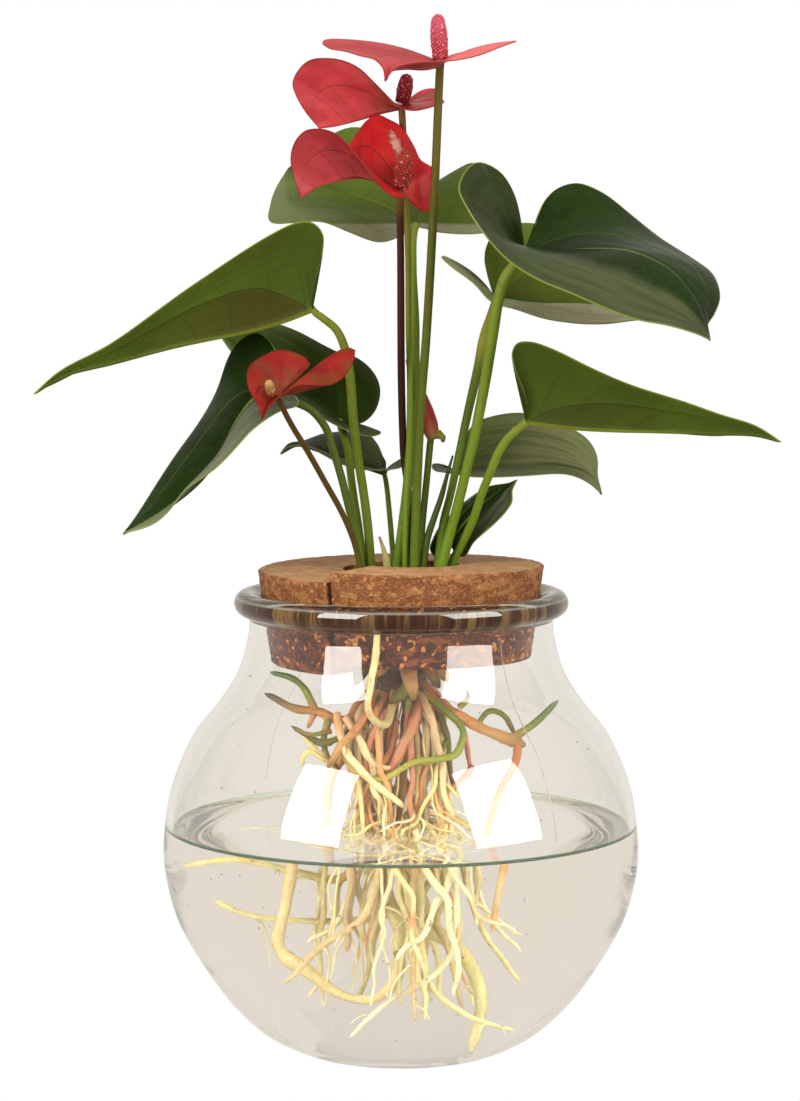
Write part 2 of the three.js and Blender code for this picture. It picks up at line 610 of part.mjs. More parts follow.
const roots = [
  {
    route: [[-6, -2, 147], [-14, -5, 137], [-24, -7, 132.6], [-33, -8, 136], [-43, -8, 138],
      [-54, -8, 144]],
    radii: [2.1, 1.8, 1.2],
  },
  {
    route: [[-34, -8, 136.4], [-38.5, -8, 146], [-44, -7, 150.5], [-52, -6, 152.4]],
    radii: [1.5, 1.4, 1],
  },
  {
    route: [[-5, -5, 146], [-17, -10, 131], [-30, -12, 124.5], [-37, -12, 126.5], [-43, -12, 131]],
    radii: [1.6, 1.4, 0.9],
  },
  {
    route: [[-2, -6, 147], [-5, -22, 134.5], [-10, -38, 137], [-12.6, -50, 145], [-11.4, -54.6, 154],
      [-9.5, -55.6, 164]],
    radii: [1.7, 1.6, 1.3, 1.1],
  },
  {
    route: [[6, -2, 149], [15, -6, 138.5], [29, -10, 131.5], [42, -14, 126.5], [49, -15, 124.5]],
    radii: [2.4, 2.3, 2],
  },
  {
    route: [[43, -14, 126.4], [52, -14.5, 132], [61.5, -13, 141.5]],
    radii: [1.7, 1.5, 1.1],
  },
  {
    route: [[46, -15, 126], [44.6, -15, 116], [39, -13, 106], [35, -12, 92], [32, -12, 76], [28, -12, 58]],
    radii: [1.7, 1.5, 1.4, 1],
  },
  {
    route: [[30, -10, 131], [35, -11, 137], [41, -13, 135], [45, -14, 128]],
    radii: [1.1, 1.1, 1.1],
  },
  {
    route: [[8, -6, 144], [24, -12, 130], [22, -17, 122], [6, -18, 119], [-8, -18, 111.6],
      [-19, -17, 115], [-24, -14, 124]],
    radii: [1.5, 1.4, 1.3, 1],
  },
  {
    route: [[-4, 1, 144], [-16, 8, 128], [-28, 9, 108], [-31, 6, 86], [-34, 3, 66], [-36.5, 0, 52],
      [-28, -3, 46.5], [-17, -5, 38.5], [-8, -6, 37.5], [-1.6, -6, 45], [-0.5, -5, 57], [-5, -4, 71],
      [-7, -2, 92], [-4, -1, 120], [-2, 0, 146]],
    radii: [2, 2, 1.9, 2, 1.9, 1.8],
    steps: 16,
  },
  {
    route: [[3, 4, 146], [1, 6, 116], [-1, 6, 82], [5, 4, 60], [16, 2, 53], [22.5, 0, 44], [24, -2, 34],
      [21.5, -4, 18]],
    radii: [2, 2.3, 2.4, 1.7],
    steps: 11,
  },
  {
    route: [[-5, 6, 145], [-11, 12, 116], [-13, 14, 84], [-16, 14, 69], [-34, 13, 72], [-52, 11, 75.5],
      [-66, 8, 73]],
    radii: [1.4, 1.4, 1.3, 0.9],
    steps: 10,
  },
  {
    route: [[4, 8, 145], [8, 15, 110], [7, 16, 66], [-6, 16, 59.5], [-26, 15, 58.5], [-44, 14, 60.5],
      [-54, 12, 64]],
    radii: [1.1, 1.1, 1, 0.7],
    steps: 10,
  },
  {
    route: [[-3, -5, 146], [-5, -9, 114], [-6, -9, 78], [-12, -10, 62], [-24, -12, 54], [-37, -14, 43]],
    radii: [1.4, 1.4, 1.3, 0.8],
    steps: 10,
  },
  {
    route: [[4, -6, 146], [7, -11, 112], [6, -12, 66], [9, -12, 43], [20, -12, 31], [36, -10, 24]],
    radii: [1.4, 1.3, 1.2, 0.7],
    steps: 11,
  },
  {
    route: [[8, -3, 146], [14, -9, 116], [17, -12, 74], [15, -14, 51], [-2, -16, 38], [-16, -16, 23]],
    radii: [1.2, 1.1, 1, 0.7],
    steps: 11,
  },
  {
    route: [[7, 2, 146], [15, 6, 112], [18, 7, 76], [24, 6, 57], [35, 4, 43]],
    radii: [1.4, 1.3, 1.2, 0.7],
    steps: 10,
  },
  {
    route: [[10, -2, 146], [18, -5, 128], [20, -6, 112], [22, -6, 104]],
    radii: [1.5, 1.3, 0.9],
    steps: 6,
  },
  {
    route: [[10, 3, 147], [23, 6, 131], [27, 8, 118], [28, 8, 108]],
    radii: [1.3, 1.2, 0.8],
    steps: 6,
  },
];

// More roots hang down round the crown, each a little different.
function hangingRoots() {
  let state = 7;
  const random = () => {
    state = (state * 16807) % 2147483647;
    return state / 2147483647;
  };
  const count = 7;
  return Array.from({ length: count }, (_, i) => {
    const angle = (i / count) * Math.PI * 2 + random() * 0.5;
    const spread = 10 + random() * 8;
    const bottom = 24 + random() * 34;
    const swing = (random() - 0.5) * 14;
    const [x, y] = [Math.cos(angle), Math.sin(angle)];
    return {
      route: [
        [x * 5, y * 5, 146], [x * spread, y * spread, 118], [x * spread + swing * 0.4, y * spread, 84],
        [x * spread * 0.9 + swing, y * spread * 1.1, (bottom + 84) / 2],
        [x * spread * 1.2 + swing * 0.6, y * spread * 1.3, bottom],
      ],
      radii: [1.3, 1.2, 1.1, 0.7],
      steps: 7,
    };
  });
}

const allRoots = [...roots, ...hangingRoots()];

const rootBar = (root, grow = 0) => bar(root.route, root.radii, { sides: 5, steps: root.steps ?? 6, grow });

function stalkBar(part, grow = 0) {
  return bar(rooted(part.stalk ?? part.route), part.radii, { sides: 6, steps: 8, grow });
}

const everyStalk = [...Object.values(leaves), ...Object.values(blooms), bud, ...Object.values(sheaths)];

function crownGeometry() {
  const profile = [
    [0, 138.6], [6.5, 139.6], [10.4, 144], [11.6, 151], [14.5, 157], [19, 162], [22.1, 168],
    [22.3, crownTop - 2], [20, crownTop], [0, crownTop],
  ];
  let crown = solidOf(turned(profile, 12));
  for (const root of allRoots) crown = crown.add(solidOf(rootBar(root)));
  for (const part of everyStalk) crown = crown.subtract(solidOf(stalkBar(part, gap)));
  return geometryOfSolid(crown);
}

// Materials

const finish = (color, roughness, extra = {}) => () => (
  new THREE.MeshStandardMaterial({ color, roughness, metalness: 0, ...extra })
);
const glass = finish('#dfe9e2', 0.05, { transparent: true, opacity: 0.35 });
const waterFinish = finish('#e4e6dc', 0.03, { transparent: true, opacity: 0.4 });
const cork = finish('#b58a5c', 0.9);
const rootFinish = finish('#d8c07a', 0.6);
const leafGreen = finish('#2f5a24', 0.35);
const stalkGreen = finish('#86a23a', 0.5);
const stalkRed = finish('#5a3322', 0.5);
const spatheRed = finish('#d8262e', 0.3);
const spadixRed = finish('#b8323f', 0.6);
const sheathGreen = finish('#5d6b2c', 0.6);

const group = new THREE.Group();

function piece(name, geometry, material) {
  const mesh = new THREE.Mesh(geometry, material());
  mesh.name = name;
  group.add(mesh);
}

piece('vase', vaseGeometry(), glass);
piece('water', waterGeometry(allRoots.map((root) => solidOf(rootBar(root, gap)))), waterFinish);
piece('cork_collar', corkGeometry(), cork);
piece('crown_and_roots', crownGeometry(), rootFinish);

for (const [name, leaf] of Object.entries(leaves)) {
  piece(`${name}_stalk`, stalkBar(leaf), stalkGreen);
  piece(`${name}_blade`, thickened(bladeSheet(leaf.blade, 6, 9, 3), bladeThickness), leafGreen);
}

for (const [name, bloom] of Object.entries(blooms)) {
  piece(`${name}_stalk`, stalkBar(bloom), name === 'bloom_3' ? stalkRed : stalkGreen);
  piece(`${name}_spathe`, thickened(bladeSheet(bloom.spathe, 6, 8, 3), spatheThickness), spatheRed);
  piece(`${name}_spadix`, spadixGeometry(bloom.spadix), spadixRed);
}

piece('bud_stalk', stalkBar(bud), stalkGreen);
piece('bud_spathe', budGeometry(), spatheRed);

for (const [name, sheath] of Object.entries(sheaths)) piece(name, stalkBar(sheath), sheathGreen);

export default group;
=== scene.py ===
"""An anthurium growing on water: its round glass vase, the cork collar in the neck, and the plant.

Routes are texts of places, "x y z, x y z", in millimetres. They are the ones that the CAD source drives its solids
with. The pieces made here follow them with more sides, rows, veins, florets and fine roots.
"""

import math
import random
from types import SimpleNamespace

import bpy
import numpy as np
from mathutils import Matrix, Vector, noise


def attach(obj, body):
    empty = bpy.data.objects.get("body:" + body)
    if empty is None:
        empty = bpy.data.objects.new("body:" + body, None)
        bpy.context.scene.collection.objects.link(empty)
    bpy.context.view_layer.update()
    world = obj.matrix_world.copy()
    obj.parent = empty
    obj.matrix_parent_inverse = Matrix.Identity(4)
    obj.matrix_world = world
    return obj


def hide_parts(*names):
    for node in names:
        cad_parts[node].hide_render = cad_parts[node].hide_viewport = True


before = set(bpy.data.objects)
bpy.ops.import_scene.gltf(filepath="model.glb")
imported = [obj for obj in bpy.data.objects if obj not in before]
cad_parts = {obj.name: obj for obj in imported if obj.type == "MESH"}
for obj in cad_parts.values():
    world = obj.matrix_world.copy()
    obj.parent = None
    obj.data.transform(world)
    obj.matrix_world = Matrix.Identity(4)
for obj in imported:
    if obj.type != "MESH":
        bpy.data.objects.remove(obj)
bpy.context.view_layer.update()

MM = 0.001
SEED = 11
FULL_TURN = 2 * math.pi

# Sizes that the CAD source uses too
GLASS_WALL, GLASS_FLOOR, FLOOR_DISH, FOOT_RADIUS = 3, 7, 0.8, 36
RIM_HEIGHT, RIM_RADIUS, RIM_TUBE = 180, 66.5, 4.9
WATER_LEVEL = 90
CORK_TOP, CORK_HEIGHT, CORK_TOP_RADIUS, CORK_BOTTOM_RADIUS, CORK_HOLE = 194, 37, 57, 51.8, 23
CORK_SLIT_ANGLE, CORK_SLIT_WIDTH, CORK_CHAMFER = -119.5, 0.8, 0.8
CORK_LIFT = 2.6, -1.2
CROWN_TOP, SOCKET_DEPTH, LEAN = 183, 6, 0.88
BLADE_THICKNESS, SPATHE_THICKNESS = 0.8, 0.7
BLADE_ARCH, EDGE_WAVE, EDGE_WAVES = 0.05, 0.5, 19
GLASS_OUTLINE = """36 0, 44 2, 57.5 9.5, 70.5 22.5, 81.5 38.5, 89.6 54, 94.2 70, 95 84, 93 101, 88.5 115.5, 82 128.5,
    74.4 138, 67.4 148, 63.2 158, 60.8 168, 60.6 174"""

# Name: stalk, its radii, midrib, left margin, right margin
leaves = {
    "leaf_1": (
        """-12 1 195, -13.1 1 209, -14.8 1 223, -16.8 0 236, -19 -2 254, -20.2 -3 270, -22.3 -4 281.5, -25.6 -5 288.6,
           -29.5 -5.8 292, -34.7 -6.9 296""",
        (1.9, 1.8, 1.8, 1.9, 1.4),
        """-35 -7 296.6, -45.5 -7 292.5, -59.5 -7 288.5, -89.5 -7.5 282, -113.5 -8 275.5, -132.5 -8.5 270.5,
           -144.5 -9 263.5""",
        """-33.5 -12 308.5, -30.5 -16 319.5, -30.5 -18 326, -34.5 -18.5 330, -41 -19 330, -51 -19 325.5, -81 -17 306,
           -113 -13 283.5, -134 -10.5 272.5""",
        "-35.5 8 304, -40.5 22 311.5, -53 27 312.5, -75 23 300.5, -100 12 287, -124 0 274.5",
    ),
    "leaf_2": (
        """-15.9 -1 195, -16.7 -1 204, -20.2 -1.5 216, -23.4 -2 229, -26.6 -2.5 240, -30 -3 250, -36 -3.5 257,
           -44.7 -4 260.6""",
        (1.6, 1.6, 1.6, 1.5),
        "-46 -4 261.2, -56.5 -6 262, -63.5 -9 254.5, -71.5 -13 239.5, -80.5 -15 228, -95 -18 217, -109 -20 209",
        """-41.5 -10 262.5, -40.5 -17 259.5, -47 -26 257.5, -55.5 -32 251.5, -63 -35 244.5, -72 -36 236, -83 -32 227,
           -90.5 -26 218, -98 -23 213""",
        """-47.5 -2 271.5, -51 4 282, -57.5 8 287, -64.5 12 283.5, -69 14 276.5, -74 14 264, -81 10 251,
           -90.5 2 236.5, -100 -8 222, -106.5 -17 212.5""",
    ),
    "leaf_3": (
        "-15.2 5 195, -16.8 6.5 209, -18.8 7 221, -20 7 230, -21.2 9 240, -23 17 246, -24 24.6 248.2",
        (1.6, 1.5, 1.6, 1.5),
        "-25 28 250.6, -32.5 35 257.5, -42 42 263, -60.5 56 275.5, -78.5 72 288.5",
        "-16 23 247.5, -8 17 247, -14 11 245.5, -22.5 9 248, -34.5 12 255, -47 22 261, -59.5 38 268, -70 56 278",
        """-16.5 31 249.5, -10.5 36 254.5, -8.5 41 262.5, -11 45 269, -18 50 275.5, -27 54 278.5, -44 62 286.5,
           -55.5 66 290, -68 70 291.5""",
    ),
    "leaf_4": (
        "-3 9.5 195, -3.8 11 205, -4.8 15 216, -5.8 20 225, -6.6 24.8 228.9",
        (1.1, 1.1, 1.0),
        "-6.9 26 229.8, -15 25 232.5, -23.5 24 235.5, -33.5 25 239, -42 27 241, -49 28 237.5",
        """-3 23 234, 0.5 20 236, -0.5 14 233, -7 13 231.5, -15 13 232, -23.5 14 234.5, -31.5 17 237.5, -39.5 22 241,
           -46 26 240.5""",
        """-6 29 233.5, -7.5 32 236.5, -9.5 37 240.5, -14 41 244.5, -21 43 246, -30.5 41 245, -39.5 35 242,
           -46 31 241.5""",
    ),
    "leaf_5": (
        "-1.2 4 195, 0.4 4.5 208, 2.4 6 224, 3.8 7 240, 5.2 8.3 260, 5.4 11 290, 4.6 14 308, 4.4 19 322, 5 21 326.6",
        (2, 2, 2, 2, 1.5),
        "6 24 329.6, -6.5 42 337.5, -25.5 66 344.5, -48 92 354",
        "-0.5 15 325, -8.5 9 323, -20 7 326.5, -31.5 9 330.5, -43.5 17 331, -52.5 28 331, -53.5 50 338, -52 72 346",
        """16.5 14 326.5, 33 10 326.5, 44.5 16 331, 46 26 340.5, 39.5 38 351, 28 48 355, 16 58 348.5, 6 65 354.5,
           -6.5 72 366.5, -20.5 79 371, -35 86 365""",
    ),
    "leaf_6": (
        """16.3 -2.5 195, 19.8 -3 209, 23 -4 221, 25.8 -5.5 233, 28.9 -7 246, 33.2 -9 269, 36 -11 287, 38.1 -12 300,
           41 -12.6 309, 47.5 -13 317.1""",
        (2.1, 2, 2, 2.1, 2.2, 1.8),
        "48 -13 317.6, 60 -17 319, 74.5 -23 320, 88.5 -28 319, 103.5 -32 312, 114 -37 299, 118.5 -40 285",
        """52 -8 323.5, 54 -2 333.5, 57.5 4 340, 63 10 344.5, 70.5 14 346, 80.5 16 342, 92 15 333.5, 103 10 325,
           116.5 0 315.5, 122 -10 309.5, 123.5 -22 301, 121 -30 295, 118 -36 290.5""",
        """46.5 -15 323.5, 46 -18 332, 43.5 -24 341.5, 38 -30 349.5, 30 -34 353, 25 -38 350.5, 21.5 -42 343,
           25 -46 335, 35 -50 321.5, 42.5 -52 314.5, 52.5 -56 308, 63.5 -59 303, 76 -60 297.5, 88 -58 293.5,
           102 -53 291, 112 -47 288""",
    ),
    "leaf_7": (
        "14.8 3 195, 16.8 4 211, 19.6 5 222, 23.9 8 242, 27 11.5 256, 30.4 16 270, 34 21.5 284, 38 27.4 298.4",
        (1.7, 1.6, 1.6, 1.9, 1.7),
        "38.4 28 299.4, 52 28 298, 75 28 298, 94.5 27 296, 108 26 292.5",
        "36.5 33 306, 34 39 317, 36.5 43 324.5, 42.5 46 329, 53 48 331, 67 48 326.5, 83.5 45 315, 97 36 302.5",
        """36 24 303.5, 28 17 311.5, 16.5 9 317.5, 20 4 313, 28 0 306.5, 35.5 -3 299.5, 45 -4 297, 57.5 -4 292.5,
           68.5 -1 290.5, 80 5 290.5, 93.5 14 292""",
    ),
    "leaf_8": (
        """20.3 1.5 195, 24.6 0 204, 28.6 -2 213, 32.1 -5 224, 35.5 -8 233, 39 -10.4 241.5, 43.4 -12.2 247.5,
           49 -13.9 252.2""",
        (1.8, 1.7, 1.7, 1.6),
        "49.4 -14 252.6, 68 -14 250.5, 84.5 -14 249.5, 101 -14 249, 125 -14.5 248, 138.5 -15 247.5, 149 -15 245",
        "52 2 259, 57 14 263, 72 19 260.5, 92 16 254, 111 6 247.5, 123 -3 246, 136.5 -11 247.5",
        """48.5 -20 263.5, 44.5 -23 273, 43 -24.5 280, 45 -25 283.5, 50 -25.5 284, 58.5 -25.5 281.5, 75.5 -24.5 273.5,
           90.5 -23 267, 110.5 -20.5 260.5, 124 -18.5 256, 138.5 -16.5 251.5""",
    ),
    "leaf_9": (
        "14.5 14 195, 16 19.5 205, 18.6 26 216, 21.2 32 225.2, 22 34.8 228.2",
        (1.4, 1.3, 1.3),
        "22.4 36 229.4, 40.5 36 231, 64 37 232, 75 38 229.5, 80 39 224.5, 82.5 39 220",
        """23 40 236.5, 26.5 44 243.5, 30 48 248.5, 36.5 51 251, 50 54 252.5, 61.5 53 250, 71.5 49 246, 77.5 46 241,
           80.5 43 235, 81 41 227.5""",
        "18.5 31 232.5, 13 26 233.5, 14 20 231, 19.5 15 230, 30 13 229.5, 51 14 229.5, 67.5 22 229, 77 31 225.5",
    ),
    "leaf_10": (
        "17.6 6.5 195, 18.4 8.5 199, 19 9.4 200.4",
        (1.2, 1.2, 1.1),
        "20 12 203, 24.5 10 209.5, 31.5 8 217.5, 39.5 7 224, 46.5 6 228.5",
        "17.5 10.5 198.5, 14 9.5 197, 11.5 9 200.5, 13 9 205.5, 16 9.5 210, 25 9.5 219, 35 8.5 225.5, 42.5 7.5 227",
        "22 9 198.5, 25 6 197.5, 29 4 203, 34.5 3 208.5, 41.5 3 215.5, 44.5 4 219.5, 44.5 5 224.5",
    ),
}

# Name: stalk, its radii, midrib of the spathe, left margin, right margin, both ends of the spadix, its radii
blooms = {
    "bloom_1": (
        "5.2 -1.5 195, 6.3 -4 226, 7.9 -7 260, 9.8 -9 284, 12.9 -14 339, 15.1 -16.9 390.4",
        (1.8, 1.8, 1.7, 1.6),
        "15.2 -17 391.2, 9 -32 389, 1.5 -48 388, -4 -61 386, -6 -68 382",
        """19 -6 395, 29 1 398, 39 0 400.5, 45 -11 400, 38 -28 397, 26 -42 392.5, 14.5 -53 389.5, 4 -61 388.5,
           -2.5 -65 387""",
        """11.5 -6 394, -0.5 3 398.5, -12.5 4 401.5, -26 -3 401.5, -30.5 -14 399.5, -27.5 -26 397, -21.5 -37 395,
           -15.5 -47 392, -9.5 -57 390, -6.5 -63 387""",
        "15.2 -17 393.2, 14.1 -17.3 410.4", (2.7, 3.2, 3.1, 1.9),
    ),
    "bloom_2": (
        "1.6 0.5 195, 2.4 1 222, 3.2 2.2 240, 3.6 3.5 265, 3 4.4 290, 2.8 4.6 318, 2 4.6 340, 0.3 3 374.7",
        (1.3, 1.3, 1.2, 1.4),
        "0.2 3 375.6, -8.5 2 373.5, -16 1 371, -25 0 368.5, -32.5 -1 367.5",
        """6 2 377, 13 -1 379, 17 -5 377.5, 11.5 -9 375.5, 4.5 -10 374, -2 -9 375.5, -6.5 -8 380, -11.5 -8 385.5,
           -16 -9 390, -22 -10 393, -29 -10 394, -36 -8 393, -40.5 -6 389, -42.5 -4 384.5, -41 -3 379.5,
           -37.5 -2 373.5""",
        "3.5 9 379.5, 9 13 383, 14.5 18 383.5, 14 25 380.5, 3.5 31 378.5, -8.5 32 378, -20.5 25 376.5, -28 12 372",
        "0.5 3 377.7, 2.6 1.6 388.6", (2.4, 3, 2.9, 1.8),
    ),
    "bloom_3": (
        "4.5 8 195, 3.2 10.4 222, 1.2 11.2 237, 0.6 7.5 250, 0.2 3.2 266, 0 -2 286, -0.1 -7 312, -0.4 -13.2 340.2",
        (1.5, 1.5, 1.5, 1.4),
        "-0.5 -14 342.6, -8 -14 346, -16 -14 348, -25.5 -16 346.5, -33.5 -18 343.5, -39 -20 339.5",
        """1 -19 339.5, -3 -23 340, -8.5 -24 345, -15 -25 353, -20.5 -27 359.5, -24.5 -28 363.5, -30.5 -28 366,
           -36.5 -27 365.5, -40.5 -26 361.5, -42.5 -24 355.5, -42 -22 349.5, -40.5 -21 344""",
        """3 -13 339.5, 7.5 -11 335, 11.5 -8 335, 14 -5 342.5, 13 -4 351, 7.5 -4 354.5, 5 -3 360, 0 -2 368, -5 -1 371,
           -9.5 0 372.5, -14 -1 369.5, -19 -5 362.5, -27.5 -11 352, -34.5 -17 344""",
        "-0.2 -17 344.4, 1.8 -18 357.6", (2.7, 3.3, 3.2, 2),
    ),
    "bloom_4": (
        "-16.3 -6 195, -18.6 -8 205, -22.9 -12 216, -29.6 -19 229, -36.1 -27 241.5, -42.5 -35 253, -46.9 -41.5 262.4",
        (1.2, 1.2, 1.1),
        "-47.2 -42 263, -49.5 -46 262.5, -51.5 -50 259.5, -53 -52 255.5",
        """-37.5 -38 268.5, -31 -32 276, -25 -29 280.5, -20 -28 282, -17.5 -30 280.5, -18.5 -33 276, -21.5 -37 271.5,
           -26 -40 268.5, -33 -44 268, -39 -47 268, -44.5 -50 265.5, -49.5 -52 261""",
        """-42 -35 268.5, -35 -29 276.5, -40 -30 280, -47.5 -32 281, -54 -36 278.5, -58 -40 275.5, -59 -44 271,
           -58 -47 266.5, -54.5 -51 261""",
        "-49 -48.2 264.6, -50.6 -50.6 270.2", (1.6, 1.8, 1.2),
    ),
}

BUD_STALK = "7.5 5 195, 8.5 8 210, 10.2 12 227, 11.8 15 243"
BUD_ENDS = "12 15 244.4, 2.2 16 276"

# Name: route, radii, tints
sheaths = {
    "sheath_1": ("-5.6 -5 195, -6.6 -5 200.5, -8.6 -5 206.6",
                 (2, 1.9, 1.4, 0.4), "0 7f8a3c, 0.5 8d9450, 0.85 9a8a62, 1 7a5040"),
    "sheath_2": ("9.1 0.5 195, 10.4 0 205, 13.1 0 213.5, 16 0 222, 18.4 0 231, 20.6 0 238.5",
                 (1.2, 1.5, 1.4, 1.1, 0.4), "0 56661e, 0.5 3c4818, 1 333614"),
}

# Paths and meshes


def points(text):
    """The places of a route, from its text."""
    return np.array([[float(v) for v in place.split()] for place in text.split(",")])


def round_at(angle, radius, height):
    """The place at an angle, a radius and a height round the middle."""
    return math.cos(angle) * radius, math.sin(angle) * radius, height


class Path:
    """A smooth route through points, in millimetres."""

    SAMPLES = np.linspace(0, 1, 201)

    def __init__(self, places):
        self.points = np.array(places, float)
        steps = np.linalg.norm(np.diff(self.at(self.SAMPLES), axis=0), axis=1)
        self.lengths = np.concatenate([[0], np.cumsum(steps)])
        self.length = self.lengths[-1]

    def at(self, shares):
        p = self.points
        known = np.vstack([2 * p[0] - p[1], p, 2 * p[-1] - p[-2]])
        place = np.clip(np.atleast_1d(shares), 0, 1) * (len(p) - 1)
        first = np.minimum(place.astype(int), len(p) - 2)
        w = (place - first)[:, None]
        a, b, c, d = (known[first + k] for k in range(4))
        ab, bc, cd = (np.sqrt(np.linalg.norm(q - r, axis=1))[:, None] for q, r in ((a, b), (b, c), (c, d)))
        leave = ((b - a) / ab - (c - a) / (ab + bc) + (c - b) / bc) * bc
        arrive = ((c - b) / bc - (d - b) / (bc + cd) + (d - c) / cd) * bc
        return b + leave * w + (3 * (c - b) - 2 * leave - arrive) * w**2 + (2 * (b - c) + leave + arrive) * w**3

    def even(self, shares):
        """Places at even lengths along the route."""
        return self.at(np.interp(np.atleast_1d(shares) * self.length, self.lengths, self.SAMPLES))

    def way(self, shares, step=1e-4):
        ahead = self.at(np.clip(shares + step, 0, 1)) - self.at(np.clip(shares - step, 0, 1))
        return ahead / np.linalg.norm(ahead, axis=1)[:, None]


def along(values, shares):
    return np.interp(shares, np.linspace(0, 1, len(values)), values)


def link(piece):
    bpy.context.scene.collection.objects.link(piece)
    return piece


def host_mesh(name, places, edges=(), **values):
    """An object of bare points and edges, in millimetres, with lengths kept on its points."""
    mesh = bpy.data.meshes.new(name)
    mesh.from_pydata((np.asarray(places) * MM).tolist(), edges, [])
    for label, lengths in values.items():
        mesh.attributes.new(label, "FLOAT", "POINT").data.foreach_set("value", [v * MM for v in lengths])
    return link(bpy.data.objects.new(name, mesh))


def new_piece(name, vertices, faces, materials, indices=None, uvs=None, sharp=None):
    """A smooth mesh object at the origin. Vertices are in millimetres; uvs holds a map for each name."""
    mesh = bpy.data.meshes.new(name)
    mesh.from_pydata((np.asarray(vertices) * MM).tolist(), [], faces)
    for material in materials:
        mesh.materials.append(material)
    if indices is not None:
        mesh.polygons.foreach_set("material_index", indices)
    for label, values in (uvs or {}).items():
        mesh.uv_layers.new(name=label).data.foreach_set("uv", np.asarray(values, np.float32).ravel())
    mesh.polygons.foreach_set("use_smooth", [True] * len(mesh.polygons))
    mesh.validate()
    mesh.update()
    if sharp:
        mesh.set_sharp_from_angle(angle=math.radians(sharp))
    return link(bpy.data.objects.new(name, mesh))


def tint(piece, colours):
    """Give each vertex its own colour, which tinted_finish shows."""
    values = np.hstack([colours, np.ones((len(colours), 1))]).astype(np.float32)
    piece.data.attributes.new("tint", "FLOAT_COLOR", "POINT").data.foreach_set("color", values.ravel())
    return piece


def lathe(profile, segments):
    """Vertices and faces of a profile of (radius, height) turned round Z; radius 0 becomes one point."""
    vertices, rings, faces = [], [], []
    for r, z in profile:
        if r < 1e-6:
            rings.append([len(vertices)] * segments)
            vertices.append((0.0, 0.0, z))
        else:
            rings.append([len(vertices) + k for k in range(segments)])
            vertices += [round_at(FULL_TURN * k / segments, r, z) for k in range(segments)]
    for lower, upper in zip(rings, rings[1:]):
        for k in range(segments):
            square = [lower[k], lower[(k + 1) % segments], upper[(k + 1) % segments], upper[k]]
            face = [v for i, v in enumerate(square) if v != square[i - 1]]
            if len(face) > 2:
                faces.append(face)
    return np.array(vertices), faces


def ring_faces(rings, sides, closed=False):
    """Faces between rings of vertices. An open row of rings gets both its ends closed."""
    faces = []
    for ring in range(rings - (not closed)):
        a, b = ring * sides, (ring + 1) % rings * sides
        for side, after in zip(range(sides), [*range(1, sides), 0]):
            faces.append([a + side, a + after, b + after, b + side])
    if not closed:
        last = (rings - 1) * sides
        faces += [list(range(sides))[::-1], list(range(last, last + sides))]
    return faces


def finish_piece(piece, slot, *nodes):
    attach(piece, "root")
    if nodes:
        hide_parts(*nodes)
    return piece


# Node trees


class Value:
    """What a node gives out. Numbers can be used in sums."""

    def __init__(self, tree, socket):
        self.tree, self.socket = tree, socket

    def __add__(self, other):
        return self.tree.calc("ADD", self, other)

    def __mul__(self, other):
        return self.tree.calc("MULTIPLY", self, other)

    def __sub__(self, other):
        return self.tree.calc("SUBTRACT", self, other)

    def __rsub__(self, other):
        return self.tree.calc("SUBTRACT", other, self)

    def __truediv__(self, other):
        return self.tree.calc("DIVIDE", self, other)

    def __pow__(self, other):
        return self.tree.calc("POWER", self, other)

    def __abs__(self):
        return self.tree.calc("ABSOLUTE", self)


class Tree:
    """Short ways to add nodes to a material's or a modifier's tree. Colours can be web names such as d8262e."""

    def __init__(self, tree):
        self.tree = tree

    def put(self, socket, value):
        if isinstance(value, Value):
            self.tree.links.new(value.socket, socket)
        elif socket.type == "RGBA":
            colour = hex_colour(value) if isinstance(value, str) else value
            socket.default_value = (*colour[:3], 1)
        else:
            socket.default_value = value

    def node(self, kind, inputs=None, **settings):
        made = self.tree.nodes.new(kind)
        for name, value in settings.items():
            setattr(made, name, value)
        for name, value in (inputs or {}).items():
            self.put(made.inputs[name], value)
        return made

    def out(self, kind, inputs=None, output=0, **settings):
        return Value(self, self.node(kind, inputs, **settings).outputs[output])

    def calc(self, operation, a, b=0.0):
        return self.out("ShaderNodeMath", {0: a, 1: b}, operation=operation)

    def most(self, a, b):
        return self.calc("MAXIMUM", a, b)

    def xyz(self, *values):
        return self.out("ShaderNodeCombineXYZ", dict(enumerate(values)))

    def fit(self, value, low, high, to_low=0.0, to_high=1.0, smooth=True):
        kind = "SMOOTHSTEP" if smooth else "LINEAR"
        inputs = {"Value": value, "From Min": low, "From Max": high, "To Min": to_low, "To Max": to_high}
        return self.out("ShaderNodeMapRange", inputs, interpolation_type=kind)


